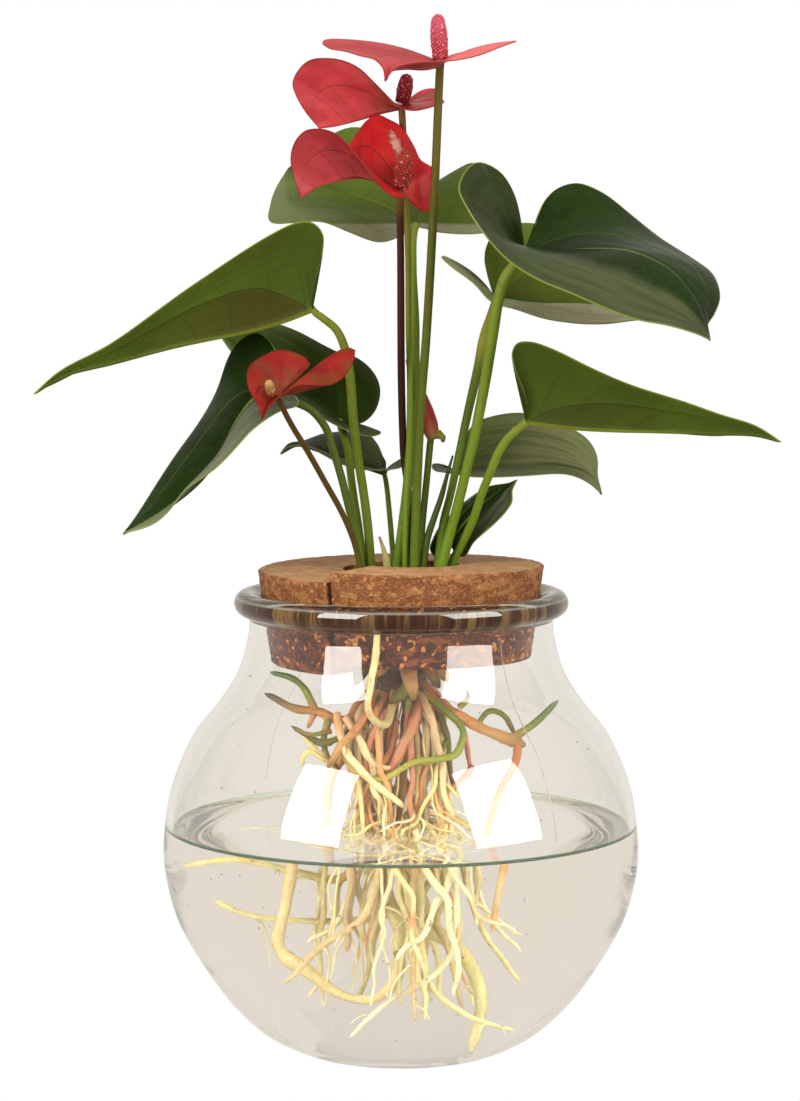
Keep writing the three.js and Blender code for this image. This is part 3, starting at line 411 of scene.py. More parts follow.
class Grower(Tree):
    """Geometry Nodes that turn a host into one plain mesh with a skin. Inputs are kinds of socket by label."""

    def __init__(self, name, **inputs):
        super().__init__(bpy.data.node_groups.new(name, "GeometryNodeTree"))
        face = self.tree.interface
        for way in ("INPUT", "OUTPUT"):
            face.new_socket("Geometry", in_out=way, socket_type="NodeSocketGeometry")
        self.sockets = {
            label: face.new_socket(label, in_out="INPUT", socket_type=f"NodeSocket{kind}").identifier
            for label, kind in {**inputs, "skin": "Material"}.items()
        }
        outputs = self.node("NodeGroupInput").outputs
        self.given = {label: Value(self, outputs[label]) for label in ("Geometry", *self.sockets)}

    def geo(self, kind, **inputs):
        return self.out("GeometryNode" + kind, {label.replace("_", " "): v for label, v in inputs.items()})

    def named(self, label):
        return self.out("GeometryNodeInputNamedAttribute", {"Name": label}, data_type="FLOAT")

    def close(self, made):
        made = self.geo("SetShadeSmooth", Geometry=self.geo("RealizeInstances", Geometry=made))
        made = self.geo("SetMaterial", Geometry=made, Material=self.given["skin"])
        self.node("NodeGroupOutput", {"Geometry": made})
        return self

    def grow(self, host, **values):
        """The host as a plain mesh, after these nodes have worked on it."""
        modifier = host.modifiers.new("grow", "NODES")
        modifier.node_group = self.tree
        for label, value in values.items():
            modifier[self.sockets[label]] = value
        graph = bpy.context.evaluated_depsgraph_get()
        grown = host.evaluated_get(graph)
        mesh = bpy.data.meshes.new_from_object(grown, preserve_all_data_layers=True, depsgraph=graph)
        name = host.name
        bpy.data.objects.remove(host)
        mesh.name = name
        return link(bpy.data.objects.new(name, mesh))


class Finish(Tree):
    """A material, or the sky of a world, with its pattern on Object coordinates in metres unless it names a map."""

    def __init__(self, name, world=None):
        self.owner = world or bpy.data.materials.new(name)
        self.owner.use_nodes = True
        super().__init__(self.owner.node_tree)
        self.tree.nodes.clear()
        self.output = self.node("ShaderNodeOutputWorld" if world else "ShaderNodeOutputMaterial")
        self.place = self.out("ShaderNodeTexCoord", output="Object")

    def mix(self, share, a, b, blend="MIX"):
        return self.out("ShaderNodeMix", {0: share, 6: a, 7: b}, 2, data_type="RGBA", blend_type=blend)

    def paint(self, colour, *coats):
        """The colour with coats over it, each (share, colour)."""
        for share, over in coats:
            colour = self.mix(share, colour, over)
        return colour

    def noise(self, scale, detail=2.0, roughness=0.5, place=None, output=0):
        inputs = {"Vector": place or self.place, "Scale": scale, "Detail": detail, "Roughness": roughness}
        return self.out("ShaderNodeTexNoise", inputs, output)

    def cells(self, scale, feature="F1", output="Distance", place=None):
        inputs = {"Vector": place or self.place, "Scale": scale, "Randomness": 1.0}
        return self.out("ShaderNodeTexVoronoi", inputs, output, feature=feature)

    def stretched(self, scale, place=None):
        return self.out("ShaderNodeMapping", {"Vector": place or self.place, "Scale": scale})

    def part(self, vector, axis):
        return self.out("ShaderNodeSeparateXYZ", {0: vector}, axis)

    def bump(self, height, distance, strength=1.0):
        return self.out("ShaderNodeBump", {"Height": height, "Distance": distance, "Strength": strength})

    def surface(self, **values):
        return self.out("ShaderNodeBsdfPrincipled", {name.replace("_", " "): v for name, v in values.items()})

    def clear(self, colour):
        return self.out("ShaderNodeBsdfTransparent", {"Color": colour})

    def blend(self, share, a, b):
        return self.out("ShaderNodeMixShader", {0: share, 1: a, 2: b})

    def show(self, shader):
        self.put(self.output.inputs["Surface"], shader)
        return self.owner

    def show_thin(self, skin, through, normal, share):
        """Show a skin that lets some light through."""
        return self.show(self.blend(share, skin, self.out(
            "ShaderNodeBsdfTranslucent", {"Color": through, "Normal": normal})))

    def show_clear(self, body, shadow):
        """Show a body that light from the lamps goes straight through."""
        return self.show(self.blend(self.out("ShaderNodeLightPath", output="Is Shadow Ray"), body, self.clear(shadow)))


def hex_colour(text):
    """A linear colour from its web name, such as d8262e."""
    values = [int(text[i : i + 2], 16) / 255 for i in (0, 2, 4)]
    return tuple(v / 12.92 if v <= 0.04045 else ((v + 0.055) / 1.055) ** 2.4 for v in values)


def blend_tints(stops, shares):
    """Colours along a path, from a text of stops: "share colour, share colour"."""
    at, names = zip(*(stop.split() for stop in stops.split(", ")))
    colours = np.array([hex_colour(name) for name in names])
    return np.stack([np.interp(shares, [float(a) for a in at], colours[:, k]) for k in range(3)], 1)


# Finishes

VEINS_MAP, SPANS_MAP = "veins", "spans"
LOBE_SHARE = 0.3  # share of the rows of a blade that run out into its lobes
LATERALS = 11  # side veins in each half
BASAL_REACH, BASAL_BEND = 0.74, -4.2


def vein_masks(f, basal_reach=BASAL_REACH):
    """Where the midrib, side veins, basal veins and margin lie on a blade, and the zone inside the basal veins."""
    veins, spans = (f.out("ShaderNodeUVMap", uv_map=label) for label in (VEINS_MAP, SPANS_MAP))
    share = abs(f.part(veins, 0) - 0.5) * 2.0
    row = f.part(veins, 1)
    span, off_rib = (f.part(spans, axis) * 100.0 for axis in (0, 1))
    reached = f.most((row - LOBE_SHARE) / (1 - LOBE_SHARE), 0.0)
    begun = f.fit(reached, 0.0, 0.02)
    wide = f.fit(span, 4.0, 16.0)
    slant = share * share * f.calc("MINIMUM", reached * 0.4, 0.07)
    bent = (f.noise(30.0, 1.0) - 0.5) * 0.05
    wave = abs(f.calc("FRACT", (row + bent - slant) * float(LATERALS)) - 0.5) * 2.0
    laterals = (1.0 - f.fit(wave, 0.02, 0.09)) * f.fit(share, 0.5, 0.95, 1.0, 0.0) * wide
    basal_at = (1.0 - f.calc("EXPONENT", reached * BASAL_BEND)) * basal_reach
    basal = (1.0 - f.fit(abs(share - basal_at) * span, 0.15, 0.55)) * begun * f.fit(reached, 0.35, 0.9, 1.0, 0.0)
    # within: the zone that leaf_finish darkens as painted shade
    within = (1.0 - f.fit(share - basal_at, -0.05, 0.015)) * begun
    return SimpleNamespace(
        midrib=1.0 - f.fit(off_rib / (reached * -0.55 + 0.85), 0.4, 1.0), laterals=laterals, basal=basal,
        margin=1.0 - f.fit((1.0 - share) * span, 0.2, 0.65), zone=within * f.fit(reached, 0.12, 0.7, 1.0, 0.0),
        streaks=f.noise(1.0, 2.0, 0.5, place=f.stretched((26.0, 3.0, 1.0), veins)), wide=wide, share=share, row=row,
        left=f.calc("GREATER_THAN", f.part(veins, 0), 0.5), reached=reached)


def leaf_finish(name, palette, rough, gloss, lines_seen, depth, sheen=None, laterals=0.45, coat=0.0, low=None):
    """A leaf's skin: its green varies in soft clouds, and veins, net and margin are drawn over it.

    The palette is body, lit, inner, vein, margin and what shines through; inner is painted shade inside the basal
    veins. sheen is (colour, strength, lowest share, half) of a painted grey sheen, a reflection painted into the
    colour: along both margins, or one half (1 left, 0 right). low is (Z in metres, colour) of a strip of painted
    grey sheen below there.
    """
    f = Finish(name)
    body, lit, inner, vein, margin, through = palette.split()
    m = vein_masks(f)
    clouds, fine = f.noise(32.0, 3.0), f.noise(420.0, 3.0)
    net = 1.0 - f.fit(f.cells(420.0, "DISTANCE_TO_EDGE"), 0.02, 0.12)
    lines = f.most(m.laterals * laterals, m.basal)
    # Painted shade: the zone inside the basal veins, which the other half of the blade shades, takes the inner colour;
    # streaks take some of it too.
    coats = [(m.zone * 0.7, inner), (f.fit(m.streaks, 0.4, 0.75) * 0.25, inner)]
    # Painted sheen: a grey reflection painted into the colour, streaky and stronger towards the tip.
    if sheen:
        sheen_colour, strength, lowest, half = sheen
        edge = f.fit(m.share + (clouds - 0.5) * 0.35, lowest, lowest + 0.25)
        if half is not None:
            edge *= m.left if half else 1.0 - m.left
        edge *= f.fit(m.streaks, 0.3, 0.7, 0.55, 1.0) * f.fit(m.row, 0.25, 0.75, 0.5, 1.0)
        coats.append((edge * strength, sheen_colour))
    if low:
        # Painted sheen: a grey strip painted below the height low[0].
        under = f.fit(f.part(f.place, 2) + clouds * 0.002, low[0], low[0] + 0.0012, 0.9, 0.0)
        coats.append((under * f.fit(m.streaks, 0.3, 0.7, 0.7, 1.0), low[1]))
    colour = f.paint(
        f.mix(f.fit(clouds, 0.3, 0.7), body, lit), *coats, (net * 0.06, vein), (lines * lines_seen, vein),
        (m.midrib * f.fit(m.reached, 0.3, 0.8, 0.8, 0.08), margin), (m.margin * 0.75, margin))
    height = lines * depth + net * (0.08 * depth) + fine * 0.12 + m.streaks * 0.8
    normal = f.bump(height * m.wide, 0.00022, 0.8)
    skin = f.surface(
        Base_Color=colour, Roughness=f.fit(m.streaks, 0.3, 0.7, rough - 0.1, rough + 0.08), Normal=normal,
        Specular_IOR_Level=gloss, Coat_Weight=coat, Coat_Roughness=0.16)
    return f.show_thin(skin, through, normal, 0.22)


def spathe_finish(name, palette, ageing, rough, coat, inner=None, scar=None):
    """A spathe's skin: waxy red, with dark veins that fan out from the stalk, and green-brown where it ages.

    The palette is body, deep, vein, aged and what shines through. inner is (X, wider X, colour, last X), in metres,
    of what shows from there to there; scar is (X, Z) in metres of a dried pale patch.
    """
    f = Finish(name)
    body, deep, vein, aged, through = palette.split()
    m = vein_masks(f, 0.6)
    clouds, fine = f.noise(70.0, 3.0), f.noise(700.0, 2.0)
    # Painted highlight: pale patches, placed at random, stand in for lit parts of the spathe.
    painted_highlight = f.mix(1.0, body, (1.3, 1.9, 1.8), "MULTIPLY")
    pale = f.fit(f.noise(42.0, 2.0, place=f.stretched((1.0, 1.0, 2.2))), 0.5, 0.66)
    old = f.fit(f.noise(110.0, 3.0), 0.42, 0.62) * f.fit(m.row, 0.35, 0.7, 1.0, 0.25)
    coats = [(f.fit(m.streaks, 0.4, 0.75) * 0.4, deep), (pale * 0.45, painted_highlight), (old * ageing, aged)]
    x, z = f.part(f.place, 0), f.part(f.place, 2)
    if inner:
        coats.append((f.fit(x, inner[0], inner[1]) * f.fit(x, inner[3], inner[3] + 0.001, 1.0, 0.0), inner[2]))
    if scar:
        up = z - scar[1]
        off = f.calc("SQRT", ((x - scar[0] + up * 0.35) * 2.2) ** 2.0 + up ** 2.0)
        off += (f.noise(420.0, 4.0, 0.7) - 0.5) * 0.014
        coats += [(f.fit(off, 0.005, 0.0075, 0.5, 0.0), "6c2a14"), (f.fit(off, 0.001, 0.006, 0.8, 0.0), "d3a296")]
    lines = f.most(m.midrib * 0.5, f.most(m.laterals * 0.55, m.basal * 0.8))
    colour = f.paint(f.mix(f.fit(clouds, 0.35, 0.65), body, deep), *coats, (lines * 0.7, vein), (m.margin * 0.6, vein))
    normal = f.bump(m.streaks + fine * 0.2 - lines, 0.00025, 0.8)
    skin = f.surface(Base_Color=colour, Roughness=rough, Normal=normal, Specular_IOR_Level=0.2, Coat_Weight=coat,
                     Coat_Roughness=0.15)
    return f.show_thin(skin, through, normal, 0.2)


def tinted_finish(name, rough, spots, spot_colour, bump_mm, streak=False, spotted=0.7, own=None, gloss=0.5,
                  spot_from=0.66):
    """Colour from the piece's own tint, with small darker spots and fine streaks along it."""
    f = Finish(name)
    own = own or f.out("ShaderNodeAttribute", output="Color", attribute_name="tint")
    fine = f.noise(650.0, 3.0)
    uneven = f.noise(300.0, 2.0, place=f.stretched((6.0, 6.0, 1.0))) if streak else fine
    darker = f.mix(1.0, own, (0.55, 0.5, 0.42), "MULTIPLY")
    speck = f.fit(f.noise(spots, 2.0, 0.6), spot_from, spot_from + 0.08)
    colour = f.paint(own, (f.fit(uneven, 0.35, 0.7) * 0.3, darker), (speck * spotted, spot_colour))
    return f.show(f.surface(
        Base_Color=colour, Roughness=rough, Normal=f.bump(fine + uneven * 0.6, bump_mm * MM, 0.9),
        Specular_IOR_Level=gloss, Subsurface_Weight=0.15, Subsurface_Scale=0.002, Subsurface_Radius=(1.0, 0.7, 0.3)))


def clear_finish(name, ior, colour, edge_colour, shadow, waves=0.0, rim=None):
    """Glass or water. Light from lamps passes it, and what is seen at a low angle takes the edge colour.

    rim is (inner radius, outer radius, colour) in metres of a ring of painted shade, where water climbs the wall.
    """
    f = Finish(name)
    facing = f.out("ShaderNodeLayerWeight", {"Blend": 0.35}, "Facing")
    colour = f.mix(facing ** 2.2, colour, edge_colour)
    # Painted shade: a darker green ring where the surface meets the glass.
    if rim:
        reach = f.out("ShaderNodeVectorMath", {0: f.stretched((1.0, 1.0, 0.0))}, "Value", operation="LENGTH")
        colour = f.mix(f.fit(reach, rim[0], rim[1]), colour, rim[2])
    ripple = {"Normal": f.bump(f.noise(26.0, 2.0), waves * MM)} if waves else {}
    return f.show_clear(
        f.surface(Base_Color=colour, Roughness=0.0, IOR=ior, Transmission_Weight=1.0, **ripple), shadow)


def rim_finish():
    """The rolled rim: thick glass, with the browns of the cork seen through it painted in as upright streaks."""
    f = Finish("glass_rim")
    x, y, height = (f.part(f.place, axis) for axis in range(3))
    strip = f.xyz(f.calc("ARCTAN2", y, x), height)
    wide, thin, patches = (f.noise(*scale, place=strip) for scale in ((9.0, 1.0), (46.0, 2.0, 0.7), (20.0, 2.0)))
    # Painted in: the cork's browns as seen through the thick glass, with darker patches; clear over the top and inner
    # side.
    brown = f.mix(f.fit(wide * 0.7 + thin * 0.45, 0.52, 0.72), "3f2411", "7c6038")
    brown = f.mix(f.fit(patches, 0.5, 0.62), brown, "34190a")
    reach = f.calc("SQRT", x * x + y * y)
    over = f.most(f.fit(height, (RIM_HEIGHT + 1.8) * MM, (RIM_HEIGHT + 3.6) * MM),
                  f.fit(reach, (RIM_RADIUS - 6.5) * MM, (RIM_RADIUS - 5) * MM, 1.0, 0.0))
    brown = f.mix(over, brown, (0.8, 0.82, 0.74))
    body = f.surface(Base_Color=brown, Roughness=0.0, IOR=1.5, Transmission_Weight=f.fit(over, 0.0, 1.0, 0.4, 1.0))
    return f.show_clear(body, (0.85, 0.8, 0.72))


def water_edge_finish():
    """The edge of the water: dark green in front, paler and clearer behind."""
    f = Finish("water_edge")
    # Painted shade: the front is dark green for the dark line that the meniscus shows there, the back paler.
    back = f.fit(f.part(f.place, 1), -0.03, 0.06)
    colour = f.mix(back, (0.05, 0.085, 0.05), (0.5, 0.58, 0.46))
    body = f.surface(Base_Color=colour, Roughness=0.1, IOR=1.33, Specular_IOR_Level=0.3)
    return f.show(f.blend(f.fit(back, 0.0, 1.0, 0.25, 0.75), body, f.clear((1.0, 1.0, 1.0))))


def cork_finish(name, palette, seamed):
    """Pressed cork: small crumbs with thin dark seams, pale slivers and pits, and painted shade low in the neck.

    The palette is light, dark, seams and pale crumbs.
    """
    f = Finish(name)
    light, dark, seam_colour, pale = palette.split()
    place = f.out("ShaderNodeMix", {0: 0.0028, 4: f.place, 5: f.noise(260.0, output="Color")}, 1, data_type="VECTOR")
    cells = f.cells(560.0, output="Color", place=place)
    kind, paleness = (f.out("ShaderNodeSeparateColor", {0: cells}, channel) for channel in (0, 1))
    seam = 1.0 - f.fit(f.cells(560.0, "DISTANCE_TO_EDGE", place=place), 0.02, 0.14)
    slivers = f.cells(260.0, output="Color", place=f.stretched((0.7, 0.7, 1.7), place))
    sliver = f.fit(f.out("ShaderNodeSeparateColor", {0: slivers}, 1), 0.8, 0.84)
    pits = f.fit(f.noise(700.0, 3.0, 0.7), 0.64, 0.72)
    dry = f.paint(
        f.mix(f.fit(kind, 0.0, 1.0), light, dark), (f.fit(paleness, 0.8, 0.88) * 0.7, pale),
        (seam * seamed * (1.0 - sliver * 0.6), seam_colour), (sliver * 0.55, pale), (pits * 0.55, seam_colour))
    # Painted shade: below about 184 mm, where the cork sits in the neck behind the rim, it is painted darker and
    # redder.
    painted_shade_cork = f.paint(
        f.mix(f.fit(kind, 0.2, 0.8), "60280f", "3c1608"), (f.fit(paleness, 0.78, 0.84), "b0703a"),
        (seam * 0.8, "280e06"), (sliver * 0.3, "a4602c"))
    wet = f.fit(f.part(f.place, 2) + f.noise(90.0) * 0.002, 0.182, 0.187, 1.0, 0.0)
    height = kind * 0.3 + (seam * -0.6 - pits)
    return f.show(f.surface(Base_Color=f.mix(wet, dry, painted_shade_cork), Roughness=0.85, Specular_IOR_Level=0.3,
                            Normal=f.bump(height, 0.00045, 0.9)))


# Palettes: the third colour, inner, is painted shade inside the basal veins; sheen colours are a painted grey
# reflection.
PLAIN_UPPER = "2a3a0c 374a10 2c3510 45531e 5e6c22 50690c", 0.4, 0.12, 0.4, -1.0
DARK_UPPER = "142206 1e300a 152008 4e6020 7d8a34 2c4006", 0.36, 0.05, 0.5, -1.0
leaf_upper = leaf_finish("leaf_upper", *PLAIN_UPPER, ("646548", 0.6, 0.7, None), 0.3)
leaf_bloomed_pale = leaf_finish("leaf_bloomed_pale", *PLAIN_UPPER, ("8a8c62", 0.8, -0.1, None), 0.3)
leaf_bloomed_grey = leaf_finish("leaf_bloomed_grey", *PLAIN_UPPER, ("7a7e5c", 0.7, -0.1, None), 0.3)
leaf_upper_dark = leaf_finish("leaf_upper_dark", *DARK_UPPER, ("5c5f44", 0.62, 0.3, 0), 0.1, 0.12)
leaf_bloomed_dark = leaf_finish("leaf_bloomed_dark", *DARK_UPPER, ("7c8064", 0.85, -0.1, 1), 0.1, 0.12)
# Grey sheen painted along one half, and in a strip low down below 330.5 mm.
leaf_painted_sheen_edges = leaf_finish(
    "leaf_rolled_edge", "43521a 4e5f1c 3f4a14 30380c 5e6c22 5c6c08", 0.5, 0.12, 0.55, 0.6, ("7a785a", 0.5, 0.6, 1),
    low=(0.3305, "86846a"))
leaf_sheen_half = leaf_finish(
    "leaf_sheen_half", "52641c 5e7022 4c5818 3c4814 7f8a3c 6c7c10", 0.5, 0.2, 0.5, 0.6, ("b0aa88", 1.1, -0.1, 0))
leaf_under = leaf_finish("leaf_under", "3f4e12 495b14 3a400f 2e330a 76802e 5c6c08", 0.55, 0.15, 0.55, 0.8)
# Its inner colour is browner: painted shade of the far half on leaf_1's underside.
leaf_under_brown = leaf_finish("leaf_under_brown", "3f4e12 495b14 3c2e08 2e330a 76802e 5c6c08", 0.55, 0.15, 0.55, 0.8)
leaf_under_dark = leaf_finish("leaf_under_dark", "35401a 404a20 2e3314 262c10 8a8f44 3c4c0c", 0.45, 0.3, 0.5, 0.8)
leaf_margin = tinted_finish("leaf_margin", 0.45, 200.0, "6d5a2a", 0.02, own="6f7830")
spathe_upper = spathe_finish("spathe_upper", "c4282a a8161c 6e0c12 7a3a1c b81a16", 0.2, 0.32, 0.3)
spathe_upper_scarred = spathe_finish(
    "spathe_upper_scarred", "c4282a ac181e 5e0a10 7a3a1c b81a16", 0.2, 0.36, 0.08, scar=(-0.002, 0.3605))
spathe_under = spathe_finish(
    "spathe_under", "cc4248 b03238 842420 94442e b02820", 0.3, 0.42, 0.12, (-0.018, 0.0, "944234", 0.001))
spathe_under_folded = spathe_finish(
    "spathe_under_folded", "b43a3e 9c2e34 6e1c18 7c3a24 a02018", 0.4, 0.4, 0.12, (0.002, 0.005, "b8141a", 0.1))
spathe_seen_low = spathe_finish(
    "spathe_seen_low", "ac3238 98262c 741c1a 94442e b02820", 0.2, 0.5, 0.0, (0.016, 0.02, "cc5c5c", 0.1))
old_spathe_upper = spathe_finish("old_spathe_upper", "8c1812 70100c 4a0c08 5a481c 7c140a", 0.35, 0.45, 0.0)
old_spathe_under = spathe_finish("old_spathe_under", "7c281a 661e10 4a140c 5e4218 8a2012", 0.7, 0.5, 0.0)
stalk_skin = tinted_finish("stalk_skin", 0.5, 240.0, "4d4a16", 0.06, streak=True, spotted=0.3, gloss=0.15)
root_skin = tinted_finish("root_skin", 0.3, 300.0, "7a3c18", 0.12, spotted=0.75, gloss=0.35)
spadix_skin = tinted_finish("spadix_skin", 0.55, 850.0, "d8a890", 0.05, gloss=0.2, spot_from=0.6)
bud_skin = tinted_finish("bud_skin", 0.35, 900.0, "6a1418", 0.1, streak=True, gloss=0.2)
bark_skin = tinted_finish("bark_speck", 0.9, 900.0, "241509", 0.05, own="3a2818")
glass_dry = clear_finish("glass", 1.5, (0.988, 0.992, 0.987), (0.84, 0.91, 0.86), (0.93, 0.95, 0.935))
glass_wet = clear_finish("glass_against_water", 1.128, (0.93, 0.905, 0.868), (0.9, 0.905, 0.87), (0.97, 0.965, 0.955))
glass_rim = rim_finish()
water_top = clear_finish(
    "water_surface", 1.33, (0.988, 0.99, 0.98), (0.88, 0.93, 0.88), (0.98, 0.985, 0.98), 0.12,
    (0.0900, 0.0911, (0.72, 0.84, 0.74)))
water_side = clear_finish("water_against_glass", 1.0, *[(1.0, 1.0, 1.0)] * 3)
water_edge = water_edge_finish()
bubble_skin = clear_finish("air_in_water", 0.752, (1, 1, 1), (0.9, 0.9, 0.88), (0.97, 0.97, 0.97))
cork_side = cork_finish("cork_side", "926038 784828 54290f a87448", 0.42)
cork_top = cork_finish("cork_top", "ae845a a0744a 84582f ba9468", 0.25)

# Leaf blades and spathes


def lobe_share(edge, origin, way):
    """The share of an edge that lies in the lobe, behind where the stalk meets the blade."""
    shares = np.arange(1, 31) / 60
    passed = (edge.at(shares) - origin) @ way / (way @ way)
    behind = shares[passed < 0.08]
    return max(behind[-1] if len(behind) else 0, 0.12)


def vein_relief(share, row, span, off_rib, reached):
    """Height in millimetres of the blade's relief: its keel, how far its veins stand out below, and its quilting."""
    width = 1.35 - 0.95 * reached
    keel = width * np.sqrt(np.clip(1 - (off_rib / width) ** 2, 0, 1)) * 0.8
    slant = share**2 * np.minimum(reached * 0.4, 0.07)
    wave = np.abs((row - slant) * LATERALS % 1 - 0.5) * 2
    inside = np.sin(np.pi * np.clip(share, 0, 1)) * np.clip(span / 16 - 0.25, 0, 1)
    laterals = 0.07 * np.exp(-((wave / 0.2) ** 2)) * inside
    basal_at = BASAL_REACH * (1 - np.exp(BASAL_BEND * reached))
    basal = 0.2 * np.exp(-(((share - basal_at) * span / 0.9) ** 2)) * inside * (reached > 0)
    quilt = 0.12 * (np.sin(np.pi * np.clip(wave, 0, 1) / 2) ** 2 - 0.5) * inside
    return keel, laterals + basal, quilt


def blade_piece(name, rib, left, right, thickness, rows, columns, materials):
    """A blade from the midrib to both margins, with its veins raised below and sunk above."""
    origin, *_, tip = rib_points = points(rib)
    rib = Path(rib_points)
    way = tip - origin
    lobe_rows = round(rows * LOBE_SHARE)
    row = np.arange(rows + 1)
    reached = np.maximum(0, (row - lobe_rows) / (rows - lobe_rows))
    feet = rib.even(reached)
    rib_way = rib.way(np.interp(reached * rib.length, rib.lengths, Path.SAMPLES))
    shares = np.linspace(0, 1, columns + 1) ** 1.3
    known, places, data, faces, veins, spans = {}, [], [], [], [], []
    for side, margin in ((1, left), (-1, right)):
        edge = Path([origin, *points(margin), tip])
        lobe_end = lobe_share(edge, origin, way)
        at = np.where(row < lobe_rows, row / lobe_rows * lobe_end, lobe_end + (1 - lobe_end) * reached)
        rays = edge.at(at) - feet
        span = np.linalg.norm(rays, axis=1)
        unit = rays / np.maximum(span, 1e-9)[:, None]
        up = np.cross(edge.way(at), unit) * side
        up[-1] = 0
        tilt = np.where(row > lobe_rows, np.linalg.norm(np.cross(unit, rib_way), axis=1), 1.0)
        arch = BLADE_ARCH * 4 * shares * (1 - shares) * span[:, None]
        wave = EDGE_WAVE * np.sin(at * EDGE_WAVES)[:, None] * shares**2
        grid = feet[:, None] + rays[:, None] * shares[None, :, None] + up[:, None] * (arch + wave)[..., None]
        off_rib = shares[None, :] * (span * tilt)[:, None]
        numbers = np.zeros(grid.shape[:2], int)
        for i, j in np.ndindex(rows + 1, columns + 1):
            key = tuple(np.round(grid[i, j], 3))
            if key not in known:
                known[key] = len(places)
                places.append(grid[i, j])
                data.append((shares[j], i / rows, span[i], off_rib[i, j], reached[i]))
            numbers[i, j] = known[key]
        for i, j in np.ndindex(rows, columns):
            square = [(i, j), (i + 1, j), (i + 1, j + 1), (i, j + 1)][::side]
            kept = [c for k, c in enumerate(square) if not k or numbers[c] != numbers[square[k - 1]]]
            if numbers[kept[0]] == numbers[kept[-1]]:
                kept.pop()
            if len(kept) > 2:
                faces.append([int(numbers[c]) for c in kept])
                veins.append([(0.5 + side * shares[b] / 2, a / rows) for a, b in kept])
                spans.append([(span[a] / 100, off_rib[a, b] / 100) for a, b in kept])
    places, count = np.array(places), len(places)
    normals = np.zeros_like(places)
    for face in faces:
        p = places[face]
        normals[face] += np.cross(p[2] - p[0], p[-1] - p[1])
    normals /= np.maximum(np.linalg.norm(normals, axis=1), 1e-12)[:, None]
    share, rows_at, span, off_rib, reached_at = np.array(data).T
    keel, lines, quilt = vein_relief(share, rows_at, span, off_rib, reached_at)
    half = thickness / 2 * (1 - 0.45 * share**10)
    scale = min(1.0, rib.length / 60)
    above = half + (quilt - 0.6 * lines - 0.25 * np.exp(-((off_rib / 0.9) ** 2))) * scale
    below = half + (keel + lines - quilt) * scale
    vertices = np.vstack([places + normals * above[:, None], places - normals * below[:, None]])
    used = {pair for f in faces for pair in zip(f, f[1:] + f[:1])}
    strip = [[a, a + count, b + count, b] for a, b in sorted(used) if (b, a) not in used]
    under = [[v + count for v in reversed(f)] for f in faces]
    indices = [0] * len(faces) + [1] * len(faces) + [2] * len(strip)
    maps = {}
    for label, corners, rest in ((VEINS_MAP, veins, (1.0, 0.5)), (SPANS_MAP, spans, (0.3, 0.3))):
        turned = [c for f in corners for c in reversed(f)]
        maps[label] = [c for f in corners for c in f] + turned + [rest] * 4 * len(strip)
    return new_piece(name, vertices, faces + under + strip, materials, indices, maps, sharp=50)


# Bars along routes: stalks, sheaths and roots


def bar_tree():
    """Geometry Nodes that give every path of a host its round skin, with small bumps."""
    t = Grower("bar_along_path", sides="Int", bumps="Float", bump_size="Float")
    path = t.geo("SetCurveRadius", Curve=t.geo("MeshToCurve", Mesh=t.given["Geometry"]), Radius=1.0)
    ring = t.geo("CurvePrimitiveCircle", Resolution=t.given["sides"], Radius=1.0)
    skin = t.geo("CurveToMesh", Curve=path, Profile_Curve=ring, Scale=t.named("thickness"), Fill_Caps=True)
    grain = t.out("ShaderNodeTexNoise", {"Scale": t.given["bump_size"], "Detail": 2.0})
    rise = (grain - 0.5) * t.given["bumps"]
    lift = t.out("ShaderNodeVectorMath", {0: t.geo("InputNormal"), "Scale": rise}, operation="SCALE")
    return t.close(t.geo("SetPosition", Geometry=skin, Offset=lift))


bar_grower = bar_tree()


def bars(name, paths, material, sides=14, bumps=0.0, bump_size=500.0):
    """One piece from several paths, each with its places, radii and tints."""
    places, edges, radii, tints = [], [], [], []
    for route, thickness, colours in paths:
        edges += [(k, k + 1) for k in range(len(places), len(places) + len(route) - 1)]
        places += list(route)
        radii += list(thickness)
        tints += list(colours)
    host = tint(host_mesh(name, places, edges, thickness=radii), tints)
    return bar_grower.grow(host, sides=sides, bumps=bumps * MM, bump_size=bump_size, skin=material)


def stalk_piece(name, route, radii, stops, reach=None, swell=None):
    """A stalk from its socket to its blade. reach is where it runs into the blade.

    swell is (amount, share, spread) of a thicker joint near its top.
    """
    route = points(route)
    x, y = route[0][:2]
    halfway = (1 + LEAN) / 2
    socket = [(x * LEAN, y * LEAN, CROWN_TOP - SOCKET_DEPTH), (x * halfway, y * halfway, CROWN_TOP + 2)]
    path = Path([*socket, *route, *([] if reach is None else [reach])])
    shares = np.linspace(0, 1, max(24, int(path.length / 2.2)))
    thickness = along(radii, shares)
    if swell:
        amount, share, spread = swell
        thickness = thickness * (1 + amount * np.exp(-(((shares - share) / spread) ** 2)))
    return bars(name, [(path.even(shares), thickness, blend_tints(stops, shares))], stalk_skin, 16, 0.12, 260.0)


